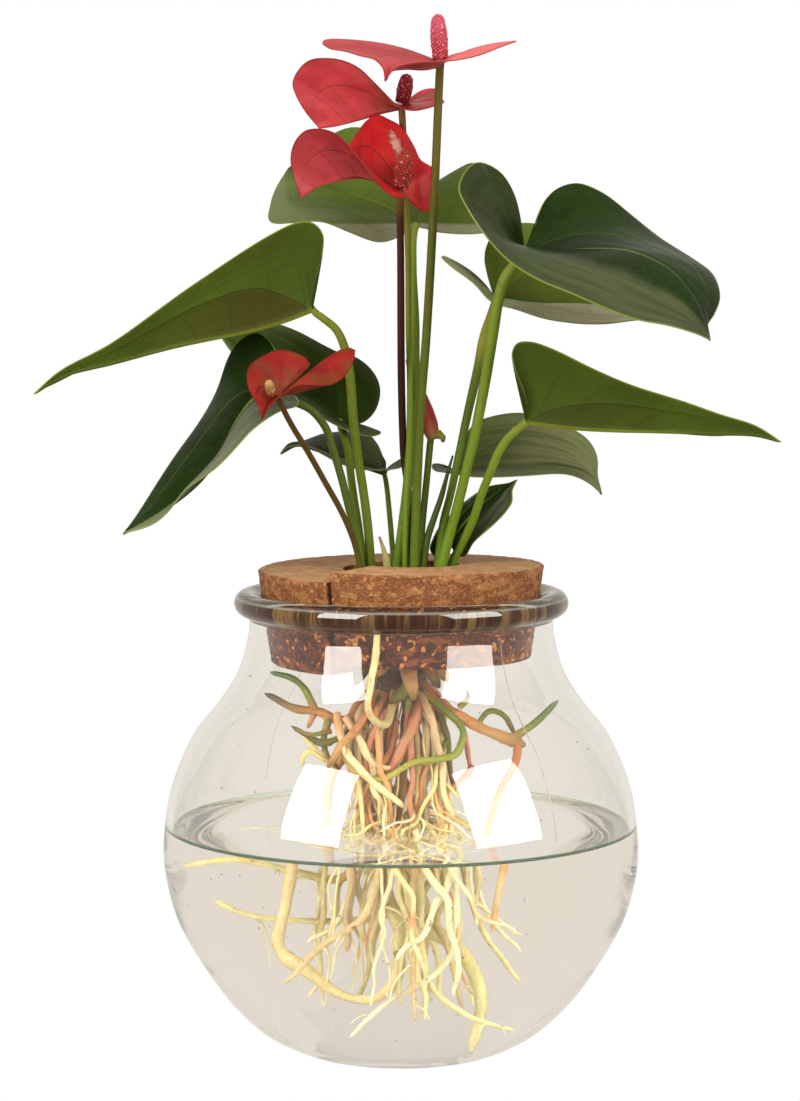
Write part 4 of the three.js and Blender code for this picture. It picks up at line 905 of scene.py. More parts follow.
JOINT, SLEEVE = (0.18, 0.93, 0.05), (0.55, 0.87, 0.075)
SWELLS = {"leaf_3": JOINT, "leaf_5": JOINT, "leaf_6": JOINT, "leaf_7": SLEEVE}
STALK_STOPS = {
    "leaf": "0 6a8c1c, 0.25 5c7418, 0.6 5f721a, 0.85 687a20, 1 6c7620",
    "leaf_1": "0 687e1a, 0.3 566614, 0.8 5c6614, 1 6c721e",
    "leaf_2": "0 66801a, 0.4 425214, 1 4a5818",
    "leaf_7": "0 66801a, 0.6 4e6218, 0.76 5c6a1e, 0.84 8e8a30, 0.95 8a8434, 1 6a7a22",
    "bloom_1": "0 5c761a, 0.25 4c5a14, 0.7 4c4c0c, 1 5c4a16",
    "bloom_2": "0 668420, 0.4 67781c, 0.8 64621a, 1 5e3a1a",
    "bloom_3": "0 4c561a, 0.12 3a2a14, 0.6 30140c, 0.93 38180c, 1 6a4824",
    "bloom_4": "0 5c661a, 0.3 4a3c14, 1 4a3212",
    "bud": "0 66841e, 0.6 4e6218, 1 5a6a1e",
}
DARK_LEAVES = "leaf_2", "leaf_6", "leaf_10"
OWN_UPPER = {"leaf_2": leaf_bloomed_dark, "leaf_4": leaf_bloomed_grey, "leaf_5": leaf_painted_sheen_edges,
             "leaf_7": leaf_sheen_half, "leaf_9": leaf_bloomed_pale}

for name, (stalk, radii, rib, left, right) in leaves.items():
    dark = name in DARK_LEAVES
    upper = OWN_UPPER.get(name, leaf_upper_dark if dark else leaf_upper)
    under = leaf_under_dark if dark else leaf_under_brown if name == "leaf_1" else leaf_under
    foot, *_, tip = points(rib)
    rows, columns = (110, 24) if np.linalg.norm(tip - foot) > 50 else (64, 16)
    blade = blade_piece(
        f"blade_of_{name}", rib, left, right, BLADE_THICKNESS, rows, columns, [upper, under, leaf_margin])
    finish_piece(blade, "leaf_dark" if dark else "leaf_green", f"{name}_blade")
    stops = STALK_STOPS.get(name, STALK_STOPS["leaf"])
    stalk = stalk_piece(f"stalk_of_{name}", stalk, radii, stops, foot, SWELLS.get(name))
    finish_piece(stalk, "stalk_green", f"{name}_stalk")

# Spadices: florets set in a spiral


def spadix_tree():
    """Geometry Nodes that set florets in a spiral on a spike that stands along Z."""
    t = Grower("florets_on_spike", count="Int", length="Float", foot="Float", middle="Float", top="Float",
               floret="Float", seed="Int")
    index = t.geo("InputIndex")
    share = (index + 0.5) / t.given["count"]
    angle = index * (math.pi * (3 - math.sqrt(5)))
    lower = t.fit(share, 0.0, 0.45, t.given["foot"], t.given["middle"])
    dome = t.calc("SQRT", t.most(0.02, 1.0 - t.fit(share, 0.82, 1.0, smooth=False) ** 2.0))
    radius = t.fit(share, 0.45, 1.0, lower, t.given["top"]) * dome
    x, y = t.calc("COSINE", angle), t.calc("SINE", angle)
    spots = t.geo("SetPosition", Geometry=t.geo("Points", Count=t.given["count"]),
                  Position=t.xyz(x * radius, y * radius, share * t.given["length"]))
    out = t.xyz(x, y, t.fit(share, 0.7, 1.0, 0.15, 2.0))
    turn = t.out("FunctionNodeAlignRotationToVector", {"Vector": out}, axis="Z")
    drawn = t.out("FunctionNodeRandomValue", {"Seed": t.given["seed"], 2: 0.7, 3: 1.25}, 1, data_type="FLOAT")
    size = drawn * t.given["floret"] * t.fit(share, 0.6, 1.0, 1.0, 0.7)
    floret = t.geo("MeshIcoSphere", Radius=1.0, Subdivisions=2)
    florets = t.geo("InstanceOnPoints", Points=spots, Instance=floret, Rotation=turn,
                    Scale=t.xyz(size, size, size * 0.75))
    joined = t.node("GeometryNodeJoinGeometry")
    for geometry in (florets, t.given["Geometry"]):
        t.put(joined.inputs[0], geometry)
    return t.close(Value(t, joined.outputs[0]))


spadix_grower = spadix_tree()


def spadix_piece(name, ends, radii, count, floret, stops):
    """A spike of florets from one end to the other, over a plain core."""
    start, end = points(ends)
    length = float(np.linalg.norm(end - start)) - floret * 0.4
    foot, middle, top = (radii[k] - floret * 0.35 for k in (0, 1, -1))
    foot, top = foot + (middle - foot) * 0.35, top + (middle - top) * 0.45
    core = [(0, -0.4), (foot * 0.8, -0.4)]
    for h in np.linspace(0, 1, 14):
        dome = math.sqrt(max(0.02, 1 - max(0, (h - 0.82) / 0.18) ** 2))
        core.append((along([foot, middle, middle, top], h) * dome * 0.94, h * length))
    piece = spadix_grower.grow(
        new_piece(name, *lathe([*core, (0, length)], 24), [spadix_skin]), count=count, length=length * MM,
        foot=foot * MM, middle=middle * MM, top=top * MM, floret=floret * MM, seed=SEED, skin=spadix_skin)
    tint(piece, blend_tints(stops, np.array([v.co.z for v in piece.data.vertices]) / (length * MM)))
    turn = Vector((0, 0, 1)).rotation_difference(Vector(end - start)).to_matrix().to_4x4()
    piece.data.transform(Matrix.Translation(Vector(start * MM)) @ turn)
    return piece


SPADICES = {  # florets, their size and the spike's colours
    "bloom_1": (230, 0.72, "0 a03a48, 0.5 ac4656, 1 b25062"),
    "bloom_2": (170, 0.62, "0 74101e, 1 861626"),
    "bloom_3": (200, 0.64, "0 7a1a18, 0.6 86221c, 1 903022"),
    "bloom_4": (110, 0.34, "0 7a2418, 0.4 8a5a30, 1 a88a50"),
}
OWN_SPATHE = {"bloom_1": (spathe_seen_low, spathe_seen_low), "bloom_3": (spathe_upper_scarred, spathe_under_folded),
              "bloom_4": (old_spathe_upper, old_spathe_under)}

for name, (stalk, radii, rib, left, right, spadix, spadix_radii) in blooms.items():
    upper, under = OWN_SPATHE.get(name, (spathe_upper, spathe_under))
    spathe = blade_piece(f"spathe_of_{name}", rib, left, right, SPATHE_THICKNESS,
                         *((26, 10) if name == "bloom_4" else (80, 18)), [upper, under, under])
    finish_piece(spathe, "spathe_red", f"{name}_spathe")
    stalk = stalk_piece(f"stalk_of_{name}", stalk, radii, STALK_STOPS[name], points(rib)[0])
    finish_piece(stalk, "stalk_red" if name in ("bloom_3", "bloom_4") else "stalk_green", f"{name}_stalk")
    spadix = spadix_piece(f"spadix_of_{name}", spadix, spadix_radii, *SPADICES[name])
    finish_piece(spadix, "spadix_pink" if name == "bloom_1" else "spadix_red", f"{name}_spadix")

# Bud and sheaths

stalk = stalk_piece("stalk_of_bud", BUD_STALK, (1.4, 1.4, 1.4), STALK_STOPS["bud"], points(BUD_ENDS)[0])
finish_piece(stalk, "stalk_green", "bud_stalk")


def bud_piece():
    """A spathe still rolled up: a spindle whose free edge winds round it as a step."""
    sides, rows, widest, overlap, twist = 60, 48, 3.9, 0.6, 0.35
    start, end = points(BUD_ENDS)
    start += (1.0, -0.6, 0)
    length = np.linalg.norm(end - start)
    way = (end - start) / length
    across = np.cross([0, 1, 0], way)
    across /= np.linalg.norm(across)
    over = np.cross(way, across)
    vertices, rows_at = [], np.repeat(np.arange(rows + 1) / rows, sides)
    for k, at in enumerate(rows_at):
        share = k % sides / sides
        wound = (share + at * twist) % 1
        step = overlap * wound + 0.12 * math.exp(-((1 - wound) / 0.06))
        out = along([2.6, 3.8, 3.9, 3.4, 2.5, 1.5, 0.5], at) * (1 - step / widest)
        turn = share * FULL_TURN
        vertices.append(start + way * at * length + across * math.cos(turn) * out + over * math.sin(turn) * out)
    piece = new_piece("rolled_spathe_of_bud", vertices, ring_faces(rows + 1, sides), [bud_skin], sharp=60)
    return tint(piece, blend_tints("0 7a6a24, 0.1 a05a40, 0.22 96342a, 0.6 841a16, 1 701410", rows_at))


finish_piece(bud_piece(), "spathe_red", "bud_spathe")
hook = points("12.4 14.6 246.2, 15.2 14 246, 16.9 13.6 244.7, 16.9 13.4 243")
hook_tints = blend_tints("0 6c6c22, 0.7 85803a, 1 5a3a1c", np.linspace(0, 1, len(hook)))
hook = bars("hook_of_bud", [(hook, (2.3, 1.9, 1.3, 0.6), hook_tints)], stalk_skin, 14, 0.3, 500.0)
finish_piece(hook, "sheath_green", "bud_spathe")

for name, (route, radii, stops) in sheaths.items():
    finish_piece(stalk_piece(f"leaf_{name}", route, radii, stops), "sheath_green", name)

# Crown and roots

ROOT_TINTS = {
    "peach": "0 ac683e, 0.35 c07c46, 0.75 cc9858, 1 7c6030",
    "dark_tip": "0 b0623c, 0.5 cc8a50, 0.8 96763c, 1 4a3a24",
    "green": "0 b0743c, 0.25 8f8a32, 0.6 647a24, 1 3f5222",
    "pale": "0 cca068, 0.4 dccb8c, 1 e2d49a",
    "rose": "0 ac6446, 0.5 ca8c64, 1 c47a54",
    "olive": "0 8e8436, 0.6 7a7828, 1 62381c",
    "arch": "0 7c7a2c, 0.3 7b8a28, 0.65 a8a040, 1 d4ac68",
    "cream": "0 dcac78, 0.5 f0d8a4, 1 ecd8a0",
    "honey": "0 b87a38, 0.3 c89450, 0.6 d6b86e, 1 b0a04c",
    "thick": "0 c88c4c, 0.45 cca850, 0.7 e6d880, 1 dccb72",
    "wet_pale": "0 c89450, 0.4 e2c070, 0.7 e6d68c, 1 e0d894",
    "wet_peach": "0 cc8a50, 0.6 e2ac70, 0.93 c88a54, 1 6a3424",
    "yellow": "0 c8a05a, 0.5 dfce86, 1 d4ca7c",
    "stub": "0 5a3a1c, 0.5 66461c, 0.8 6a6a26, 1 4a3218",
    "white": "0 e2cc94, 0.4 f2e6bc, 1 f4ecd0",
}
# Skin, radii and route of the roots that the CAD source has too
MAIN_ROOTS = [
    ("dark_tip", (2.1, 1.8, 1.2), "-6 -2 147, -14 -5 137, -24 -7 132.6, -33 -8 136, -43 -8 138, -54 -8 144"),
    ("green", (1.5, 1.4, 1), "-34 -8 136.4, -38.5 -8 146, -44 -7 150.5, -52 -6 152.4"),
    ("olive", (1.6, 1.4, 0.9), "-5 -5 146, -17 -10 131, -30 -12 124.5, -37 -12 126.5, -43 -12 131"),
    ("pale", (1.7, 1.6, 1.3, 1.1), """-2 -6 147, -5 -22 134.5, -10 -38 137, -12.6 -50 145, -11.4 -54.6 154,
      -9.5 -55.6 164"""),
    ("peach", (2.4, 2.3, 2), "6 -2 149, 15 -6 138.5, 29 -10 131.5, 42 -14 126.5, 49 -15 124.5"),
    ("green", (1.7, 1.5, 1.1), "43 -14 126.4, 52 -14.5 132, 61.5 -13 141.5"),
    ("peach", (1.7, 1.5, 1.4, 1), "46 -15 126, 44.6 -15 116, 39 -13 106, 35 -12 92, 32 -12 76, 28 -12 58"),
    ("olive", (1.1, 1.1, 1.1), "30 -10 131, 35 -11 137, 41 -13 135, 45 -14 128"),
    ("arch", (1.5, 1.4, 1.3, 1), """8 -6 144, 24 -12 130, 22 -17 122, 6 -18 119, -8 -18 111.6, -19 -17 115,
      -24 -14 124"""),
    ("honey", (2, 2, 1.9, 2, 1.9, 1.8), """-4 1 144, -16 8 128, -28 9 108, -31 6 86, -34 3 66, -36.5 0 52,
      -28 -3 46.5, -17 -5 38.5, -8 -6 37.5, -1.6 -6 45, -0.5 -5 57, -5 -4 71, -7 -2 92, -4 -1 120, -2 0 146"""),
    ("thick", (2, 2.3, 2.4, 1.7), "3 4 146, 1 6 116, -1 6 82, 5 4 60, 16 2 53, 22.5 0 44, 24 -2 34, 21.5 -4 18"),
    ("wet_pale", (1.4, 1.4, 1.3, 0.9), "-5 6 145, -11 12 116, -13 14 84, -16 14 69, -34 13 72, -52 11 75.5, -66 8 73"),
    ("wet_pale", (1.1, 1.1, 1, 0.7), "4 8 145, 8 15 110, 7 16 66, -6 16 59.5, -26 15 58.5, -44 14 60.5, -54 12 64"),
    ("wet_peach", (1.4, 1.4, 1.3, 0.8), "-3 -5 146, -5 -9 114, -6 -9 78, -12 -10 62, -24 -12 54, -37 -14 43"),
    ("yellow", (1.4, 1.3, 1.2, 0.7), "4 -6 146, 7 -11 112, 6 -12 66, 9 -12 43, 20 -12 31, 36 -10 24"),
    ("white", (1.2, 1.1, 1, 0.7), "8 -3 146, 14 -9 116, 17 -12 74, 15 -14 51, -2 -16 38, -16 -16 23"),
    ("yellow", (1.4, 1.3, 1.2, 0.7), "7 2 146, 15 6 112, 18 7 76, 24 6 57, 35 4 43"),
    ("olive", (1.5, 1.3, 0.9), "10 -2 146, 18 -5 128, 20 -6 112, 22 -6 104"),
    ("rose", (1.3, 1.2, 0.8), "10 3 147, 23 6 131, 27 8 118, 28 8 108"),
]

# Roots at the front of the bunch, and the nub that the uppermost grow from
FRONT_ROOTS = [
    ("peach", (1.8, 1.7, 1.4), "-11.3 -10 143, -13.6 -15 136.6, -18.2 -18 130, -24.5 -19 123, -29.2 -19 115.9"),
    ("peach", (1.6, 1.6, 1.3), "-1.9 -8 132.4, -3.8 -12 121.9, -8.1 -13 115.8, -9.3 -12 107.7, -8.8 -11 98"),
    ("rose", (2.4, 2.2, 1.5), "6.8 -7 142.6, 6.1 -12 134.6, 2.8 -14 127, -1.9 -15 119.2, -5.8 -13 109.4"),
    ("cream", (1.6, 1.3, 1.1), "11.1 -6 139.3, 10.1 -10 123.2, 9.3 -9 110.3, 10.3 -8 86"),
    ("cream", (1.2, 1.1, 0.9), "15.1 -3 131.7, 13.1 -7 118, 9.2 -8 105.4, 6 -8 90"),
    ("pale", (1.2, 1.1, 0.8), "-16 -12 131.4, -16.5 -17 116.4, -16.1 -17 103.8, -14.6 -16 86"),
    ("olive", (1.5, 1.3, 1), "-28.6 -8 134, -30.8 -10 124.8, -28.5 -12 118.8, -24.6 -13 115"),
    ("cream", (1.5, 1.4, 1.1), "-22.2 -14 134.9, -15.9 -18 126, -11.2 -18 118.9, -5 -16 115.5, 0.5 -12 119.6"),
    ("cream", (1.7, 1.6, 1.2), """-25.4 -12 136.2, -22.5 -19 124.6, -17 -22 117.2, -12 -21 111.6, -5 -17 105.3,
      2.1 -14 99.3"""),
    ("peach", (1.5, 1.3, 1), "-9.7 -10 131.9, -12.8 -14 122.3, -9.7 -15 114.5, -14.4 -15 106.6, -17.5 -14 98.5"),
    ("rose", (1.3, 1), "-34.1 -8 135.6, -37.2 -9 130.2"),
    ("green", (1.2, 1, 0.7), "-27.8 -9 128.6, -35.6 -12 127.5, -43.3 -14 131.7"),
    ("yellow", (1.1, 0.9, 0.7), "-26.2 -10 118.4, -33.2 -13 122.1, -39 -14 127"),
    ("yellow", (1.2, 1.1, 0.8), "-24.7 -10 115.3, -30.9 -13 118.9, -36.3 -14 122.3, -39.1 -14 119.1, -38.7 -13 115.8"),
    ("olive", (2, 1.3, 0.9), "4.4 -12 147.2, 2.8 -16 140.7, 2 -16 135.2"),
    ("olive", (2.6, 2.6, 2.2), "3.6 -15 154.7, 2.8 -16 149.4, -0.3 -16 144.6, -5 -15 140.6"),
    ("olive", (1.4, 1.2, 0.9), "23.2 -10 138.3, 26.3 -12 142.5, 25.9 -12 145.3"),
    ("arch", (0.9, 0.8, 0.6), "18.6 -6 124.2, 13 -12 118, 8.3 -13 117.3, 5.2 -12 118.8"),
    ("yellow", (1, 0.9, 0.7), "12.3 -10 111.3, 19.3 -12 107.7, 23.2 -13 103.1"),
    ("pale", (1.3, 1.5, 1.4, 1), "-12.2 -52.5 153, -10.2 -54.2 162, -9.2 -55.4 170, -8.8 -55.8 177"),
    ("rose", (1.4, 1.2, 0.8), "28.3 4 113, 23.4 -6 108.2, 15.4 -10 103.3, 8.3 -12 98.9"),
]


def hanging_roots():
    """The radii and routes of the roots that hang down round the crown, drawn as the CAD source draws them."""
    state, found = 7, []

    def drawn():
        nonlocal state
        state = state * 16807 % 2147483647
        return state / 2147483647

    for i in range(7):
        angle = i / 7 * math.pi * 2 + drawn() * 0.5
        spread, bottom, swing = 10 + drawn() * 8, 24 + drawn() * 34, (drawn() - 0.5) * 14
        x, y = math.cos(angle), math.sin(angle)
        found.append(((1.3, 1.2, 1.1, 0.7), [
            [x * 5, y * 5, 146], [x * spread, y * spread, 118], [x * spread + swing * 0.4, y * spread, 84],
            [x * spread * 0.9 + swing, y * spread * 1.1, (bottom + 84) / 2],
            [x * spread * 1.2 + swing * 0.6, y * spread * 1.3, bottom],
        ]))
    return found


def root_tints(places, shares, skin, drawn):
    """The skin's own colours, paler and yellower under the water, in uneven patches; painted shade up high."""
    wet = np.clip((WATER_LEVEL + 4 - places[:, 2]) / 24, 0, 1)[:, None] * 0.62
    tints = blend_tints(ROOT_TINTS[skin], shares) * (1 - wet) + np.array(hex_colour("d8d2a6")) * wet
    # Painted shade: roots are darker the higher they hang, up under the crown and cork.
    tints = tints * (1 - 0.15 * np.clip((places[:, 2] - 100) / 30, 0, 1)[:, None])
    patch = np.array([noise.noise(Vector(p * 0.11) + Vector((drawn * 9, 0, 0))) for p in places])[:, None]
    tints = tints + np.clip(patch - 0.15, 0, 1) * 1.3 * (np.array(hex_colour("c07c50")) - tints)
    return tints * (1 + 0.2 * patch) * (0.92 + 0.16 * drawn)


WANDERS = Vector((9.3, -1.5, -8)), Vector((0, 0, 0)), Vector((6.3, 0.2, -2.7))  # where each axis takes its noise


def root_path(skin, radii, route, draw, wobble=0.5, tip=0.3):
    """A root's places, radii and tints. It wanders by the wobble, is lumpy and ends in a blunt tip."""
    path = Path(route)
    shares = np.linspace(0, 1, max(8, int(path.length / 1.6)))
    places = path.even(shares)
    phase = draw.random() * 50
    for k, s in enumerate(shares):
        shift = [noise.noise(Vector((s * path.length * 0.09, phase, 0)) + apart) for apart in WANDERS]
        places[k] += np.array(shift) * wobble * min(1, s * 8)
    lumps = np.array([noise.noise(Vector((s * path.length * 0.22, phase, 3))) for s in shares])
    blunt = np.clip((1 - shares) * path.length / (radii[-1] * 2.5), 0, 1)
    thickness = along(radii, shares) * (1 + 0.2 * lumps) * (tip + (1 - tip) * np.sqrt(blunt))
    return places, thickness, root_tints(places, shares, skin, draw.random())


def round_route(angle, twist, spots):
    """A route that winds round the crown: twist in radians, spots as (radius, height)."""
    return [round_at(angle + twist * k / (len(spots) - 1), *spot) for k, spot in enumerate(spots)]


def root_pieces():
    draw = random.Random(SEED)
    kinds = ["peach", "rose", "cream", "pale", "peach", "yellow", "wet_peach"]

    def thinning(size, *shares):
        return [size * share for share in shares]

    def winding(spots, radii, twist, skins, wobble):
        """A root that winds round the crown from any side, by up to the twist."""
        route = round_route(draw.random() * FULL_TURN, draw.uniform(-twist, twist), spots)
        return root_path(draw.choice(skins), radii, route, draw, wobble)

    main = [root_path(skin, radii, points(route), draw) for skin, radii, route in MAIN_ROOTS]
    main += [root_path(draw.choice(kinds), radii, route, draw, 2.2) for radii, route in hanging_roots()]
    middle = [root_path(skin, radii, points(route), draw) for skin, radii, route in FRONT_ROOTS]
    for k in range(9):  # stubs round the crown
        angle, reach, drop = k * 0.7 + draw.uniform(-0.2, 0.2), draw.uniform(16, 21), draw.uniform(6, 14)
        route = round_route(angle, draw.uniform(-0.4, 0.4), [(7, 157), (reach * 0.7, 156), (reach, 157 - drop)])
        middle.append(root_path(draw.choice(["stub", "stub", "peach"]), (3.6, 3.2, 2.2), route, draw, 1.0))
    for _ in range(22):  # roots that wind round the bunch and stop near the water
        bulge, end = draw.uniform(11, 20), draw.uniform(10, 26)
        bottom = draw.choice([draw.uniform(80, 96), draw.uniform(42, 84)])
        spots = [(6, 147), (bulge, 134), (bulge * 1.1, 114), (end, 92), (end * 1.1, bottom)]
        middle.append(winding(spots, thinning(draw.uniform(0.8, 1.7), 1.15, 1, 0.8, 0.6), 2.6, kinds, 3.2))

    fine = []
    for _ in range(14):  # thin ones from the crown
        reach = draw.uniform(10, 24)
        spots = [(5, 145), (reach * 0.8, 126), (reach, 104), (reach * 1.2, draw.uniform(36, 96))]
        radii = thinning(draw.uniform(0.4, 0.75), 1, 0.9, 0.6)
        fine.append(winding(spots, radii, 0.8, ["cream", "white", "yellow"], 2.2))
    for _ in range(64):  # thin ones that lie about on the water and dip into it
        angle, reach, turn = draw.random() * FULL_TURN, draw.uniform(2, 20), draw.uniform(-2.2, 2.2)
        route = [np.array(round_at(angle, reach, draw.uniform(90, 99))) - (0, 5, 0)]
        for _ in range(4):
            angle += turn * 0.25 + draw.uniform(-0.5, 0.5)
            route.append(route[-1] + np.array([math.cos(angle), math.sin(angle) * 0.8, 0]) * draw.uniform(3, 7))
            route[-1][2] = max(82, route[-1][2] - draw.uniform(0, 4))
        radii = thinning(draw.uniform(0.25, 0.7), 1, 1, 0.6)
        fine.append(root_path(draw.choice(["yellow", "pale", "white", "cream"]), radii, route, draw, 0.9))
    for _ in range(24):  # thin ones under the water
        reach = draw.uniform(5, 26)
        end = reach * 1.35 + draw.uniform(-3, 14), draw.uniform(30, 62)
        spots = [(reach, 92), (reach * 1.15, 78), (reach * 1.35, 64), end]
        radii = thinning(draw.uniform(0.6, 1.4), 1, 1, 0.6)
        fine.append(winding(spots, radii, 1.3, ["white", "yellow", "wet_pale", "wet_pale"], 3.4))
    for _ in range(60):  # short side roots
        places, _, _ = draw.choice(main[9:])
        k = int(len(places) * draw.uniform(0.3, 0.95))
        origin = places[min(k, len(places) - 2)]
        angle, length = draw.random() * FULL_TURN, draw.uniform(5, 18)
        flat = np.array(round_at(angle, 1, 0))
        drop = np.array([0, 0, draw.uniform(0.1, 1.0) * length])
        ends = [origin, origin + flat * length * 0.35 - drop * 0.2, origin + flat * length * 0.6 - drop * 0.8]
        if origin[2] <= 110 and ends[-1][2] >= 14 and math.hypot(*ends[-1][:2]) <= 46:
            fine.append(root_path("white", thinning(draw.uniform(0.25, 0.5), 1, 0.8, 0.5), ends, draw, 1.0))
    for name, paths, *shape in (("main_roots", main, 14, 0.3, 420.0), ("middle_roots", middle, 12, 0.3, 420.0),
                                ("fine_roots", fine, 7)):
        finish_piece(bars(name, paths, root_skin, *shape), "roots", "crown_and_roots")


root_pieces()


def crown_piece():
    """The short stem that every stalk grows from, rough with old leaf scars."""
    profile = points("0 138.6, 6.5 139.6, 10.4 144, 11.6 151, 14.5 157, 19 162, 22.1 168, 22.3 181, 20 183, 0 183")
    vertices, faces = lathe([[float(along(row, s)) for row in profile.T] for s in np.linspace(0, 1, 60)], 72)
    for k, v in enumerate(vertices):
        p = Vector(v)
        if p.z > 181.5:
            vertices[k] = p - Vector((0, 0, abs(noise.noise(p * 0.35)) * 2.0))
        else:
            shift = noise.noise(p * 0.3) * 1.1 + noise.noise(p * 0.9) * 0.4 - 0.5 + 0.5 * math.sin(p.z * 1.7)
            vertices[k] = p + Vector((p.x, p.y, 0)).normalized() * shift
    stops = "0 64361a, 0.3 4c2c12, 0.6 38290f, 1 363a16"
    return tint(new_piece("crown", vertices, faces, [root_skin]), blend_tints(stops, (vertices[:, 2] - 138) / 45))


finish_piece(crown_piece(), "roots", "crown_and_roots")

# Vase and water

MENISCUS, SEGMENTS, WATER_GAP = 1.3, 168, 0.02


def glass_wall(inset, count=90):
    """The wall's outline, moved in by the inset, as (radius, height)."""
    p = points(GLASS_OUTLINE)
    known = np.vstack([p[0], p, p[-1]])
    place = np.linspace(0, len(p) - 1, count)
    first = np.minimum(place.astype(int), len(p) - 2)
    w = (place - first)[:, None]
    a, b, c, d = (known[first + k] for k in range(4))
    v0, v1 = (c - a) / 2, (d - b) / 2
    cubic, square = 2 * b - 2 * c + v0 + v1, -3 * b + 3 * c - 2 * v0 - v1
    ways = 3 * cubic * w**2 + 2 * square * w + v0
    ways /= np.linalg.norm(ways, axis=1)[:, None]
    return cubic * w**3 + square * w**2 + v0 * w + b + ways[:, ::-1] * (-inset, inset)


outer_wall, inner_wall = glass_wall(0), glass_wall(GLASS_WALL)
inner_wall = inner_wall[inner_wall[:, 1] > GLASS_FLOOR + 2 * FLOOR_DISH]
water_edge_height = WATER_LEVEL + MENISCUS


def inner_radius(height):
    return float(np.interp(height, inner_wall[:, 1], inner_wall[:, 0]))


def floor_dish(radii, lift=0.0):
    return [(r, GLASS_FLOOR + lift + FLOOR_DISH * (r / FOOT_RADIUS) ** 2) for r in radii]


def vase_piece():
    """The glass: its foot, the outside, the rolled rim, then down the inside to the floor. No wall is quite even."""
    turns = [math.radians(a) for a in range(-75, 196, 9)]
    bead = [(RIM_RADIUS - RIM_TUBE + RIM_TUBE * math.cos(a), RIM_HEIGHT + RIM_TUBE * math.sin(a)) for a in turns]
    wet = [(r, z) for r, z in inner_wall if z < water_edge_height - 0.5]
    dry = [(r, z) for r, z in inner_wall if z > water_edge_height + 0.5]
    edge = (inner_radius(water_edge_height), water_edge_height)
    foot = [(r, 0.6 * (1 - (r / FOOT_RADIUS) ** 4)) for r in (0, 8, 16, 24, 30, 33)]
    floor = floor_dish((36, 30, 22, 14, 7, 0))
    profile = [*foot, *outer_wall, *bead, *dry[::-1], edge, *wet[::-1], *floor]
    vertices, faces = lathe(profile, SEGMENTS)
    for k, (x, y, z) in enumerate(vertices):
        reach = math.hypot(x, y)
        if reach > 20 and z > 4:
            shift = noise.noise(Vector((x * 0.022, y * 0.022, z * 0.05))) * 0.35
            vertices[k] = (x * (1 + shift / reach), y * (1 + shift / reach), z)
    first_bead = len(foot) + len(outer_wall) - 1
    last_bead = first_bead + len(bead)
    skins = [1 if ring > last_bead + len(dry) else 2 if first_bead <= ring <= last_bead else 0
             for ring in range(len(profile) - 1)]
    skins = np.repeat(skins, SEGMENTS).tolist()
    return new_piece("glass_vase", vertices, faces, [glass_dry, glass_wet, glass_rim], skins)


def water_piece():
    """The water, a hair inside the glass, with its surface drawn up at the wall."""
    reach = inner_radius(water_edge_height) - WATER_GAP
    body = floor_dish((0, 12, 24, 36), WATER_GAP)
    body += [(r - WATER_GAP, z) for r, z in inner_wall if z < water_edge_height - 0.5]
    top = [(reach - d, WATER_LEVEL + MENISCUS * math.exp(-d / 1.3))
           for d in (0, 0.3, 0.7, 1.2, 1.9, 2.8, 4, 6, 9, 14, 24, 40, 60)]
    profile = [*body, *top, (0, WATER_LEVEL)]
    skins = np.repeat([int(ring < len(body)) for ring in range(len(profile) - 1)], SEGMENTS).tolist()
    return new_piece("clear_water", *lathe(profile, SEGMENTS), [water_top, water_side], skins)


def waterline_piece():
    """The rounded edge of the water on the glass, dark where it faces the front."""
    sides, height = 10, WATER_LEVEL + 0.9
    reach = inner_radius(height) - 0.62
    turns = [math.radians(t) for t in range(0, 360, 3)]
    vertices = [np.array(round_at(turn, reach + 0.5 * math.cos(a), height + 0.65 * math.sin(a)))
                for turn in turns for a in (FULL_TURN * side / sides for side in range(sides))]
    faces = [[a, d, c, b] for a, b, c, d in ring_faces(len(turns), sides, closed=True)]
    return new_piece("waterline", vertices, faces, [water_edge])


def seam_piece():
    """The fine ridges that the two halves of the mould leave on the glass."""
    wall = [(r, z) for r, z in outer_wall if 96 < z < 173]
    radii, tints = [0.28] * len(wall), np.ones((len(wall), 3))
    ridges = [([round_at(math.radians(turn), r - 0.05, z) for r, z in wall], radii, tints) for turn in (-51, 129)]
    return bars("mould_seams", ridges, glass_dry, 10)


finish_piece(waterline_piece(), "water")
finish_piece(vase_piece(), "glass", "vase")
finish_piece(water_piece(), "water", "water")
finish_piece(seam_piece(), "glass")


def dots_tree():
    """Geometry Nodes that set a small ball on every point of a host, each of its own size."""
    t = Grower("balls_on_points")
    ball = t.geo("MeshIcoSphere", Radius=1.0, Subdivisions=3)
    return t.close(t.geo("InstanceOnPoints", Points=t.given["Geometry"], Instance=ball, Scale=t.named("size")))


dots_grower = dots_tree()


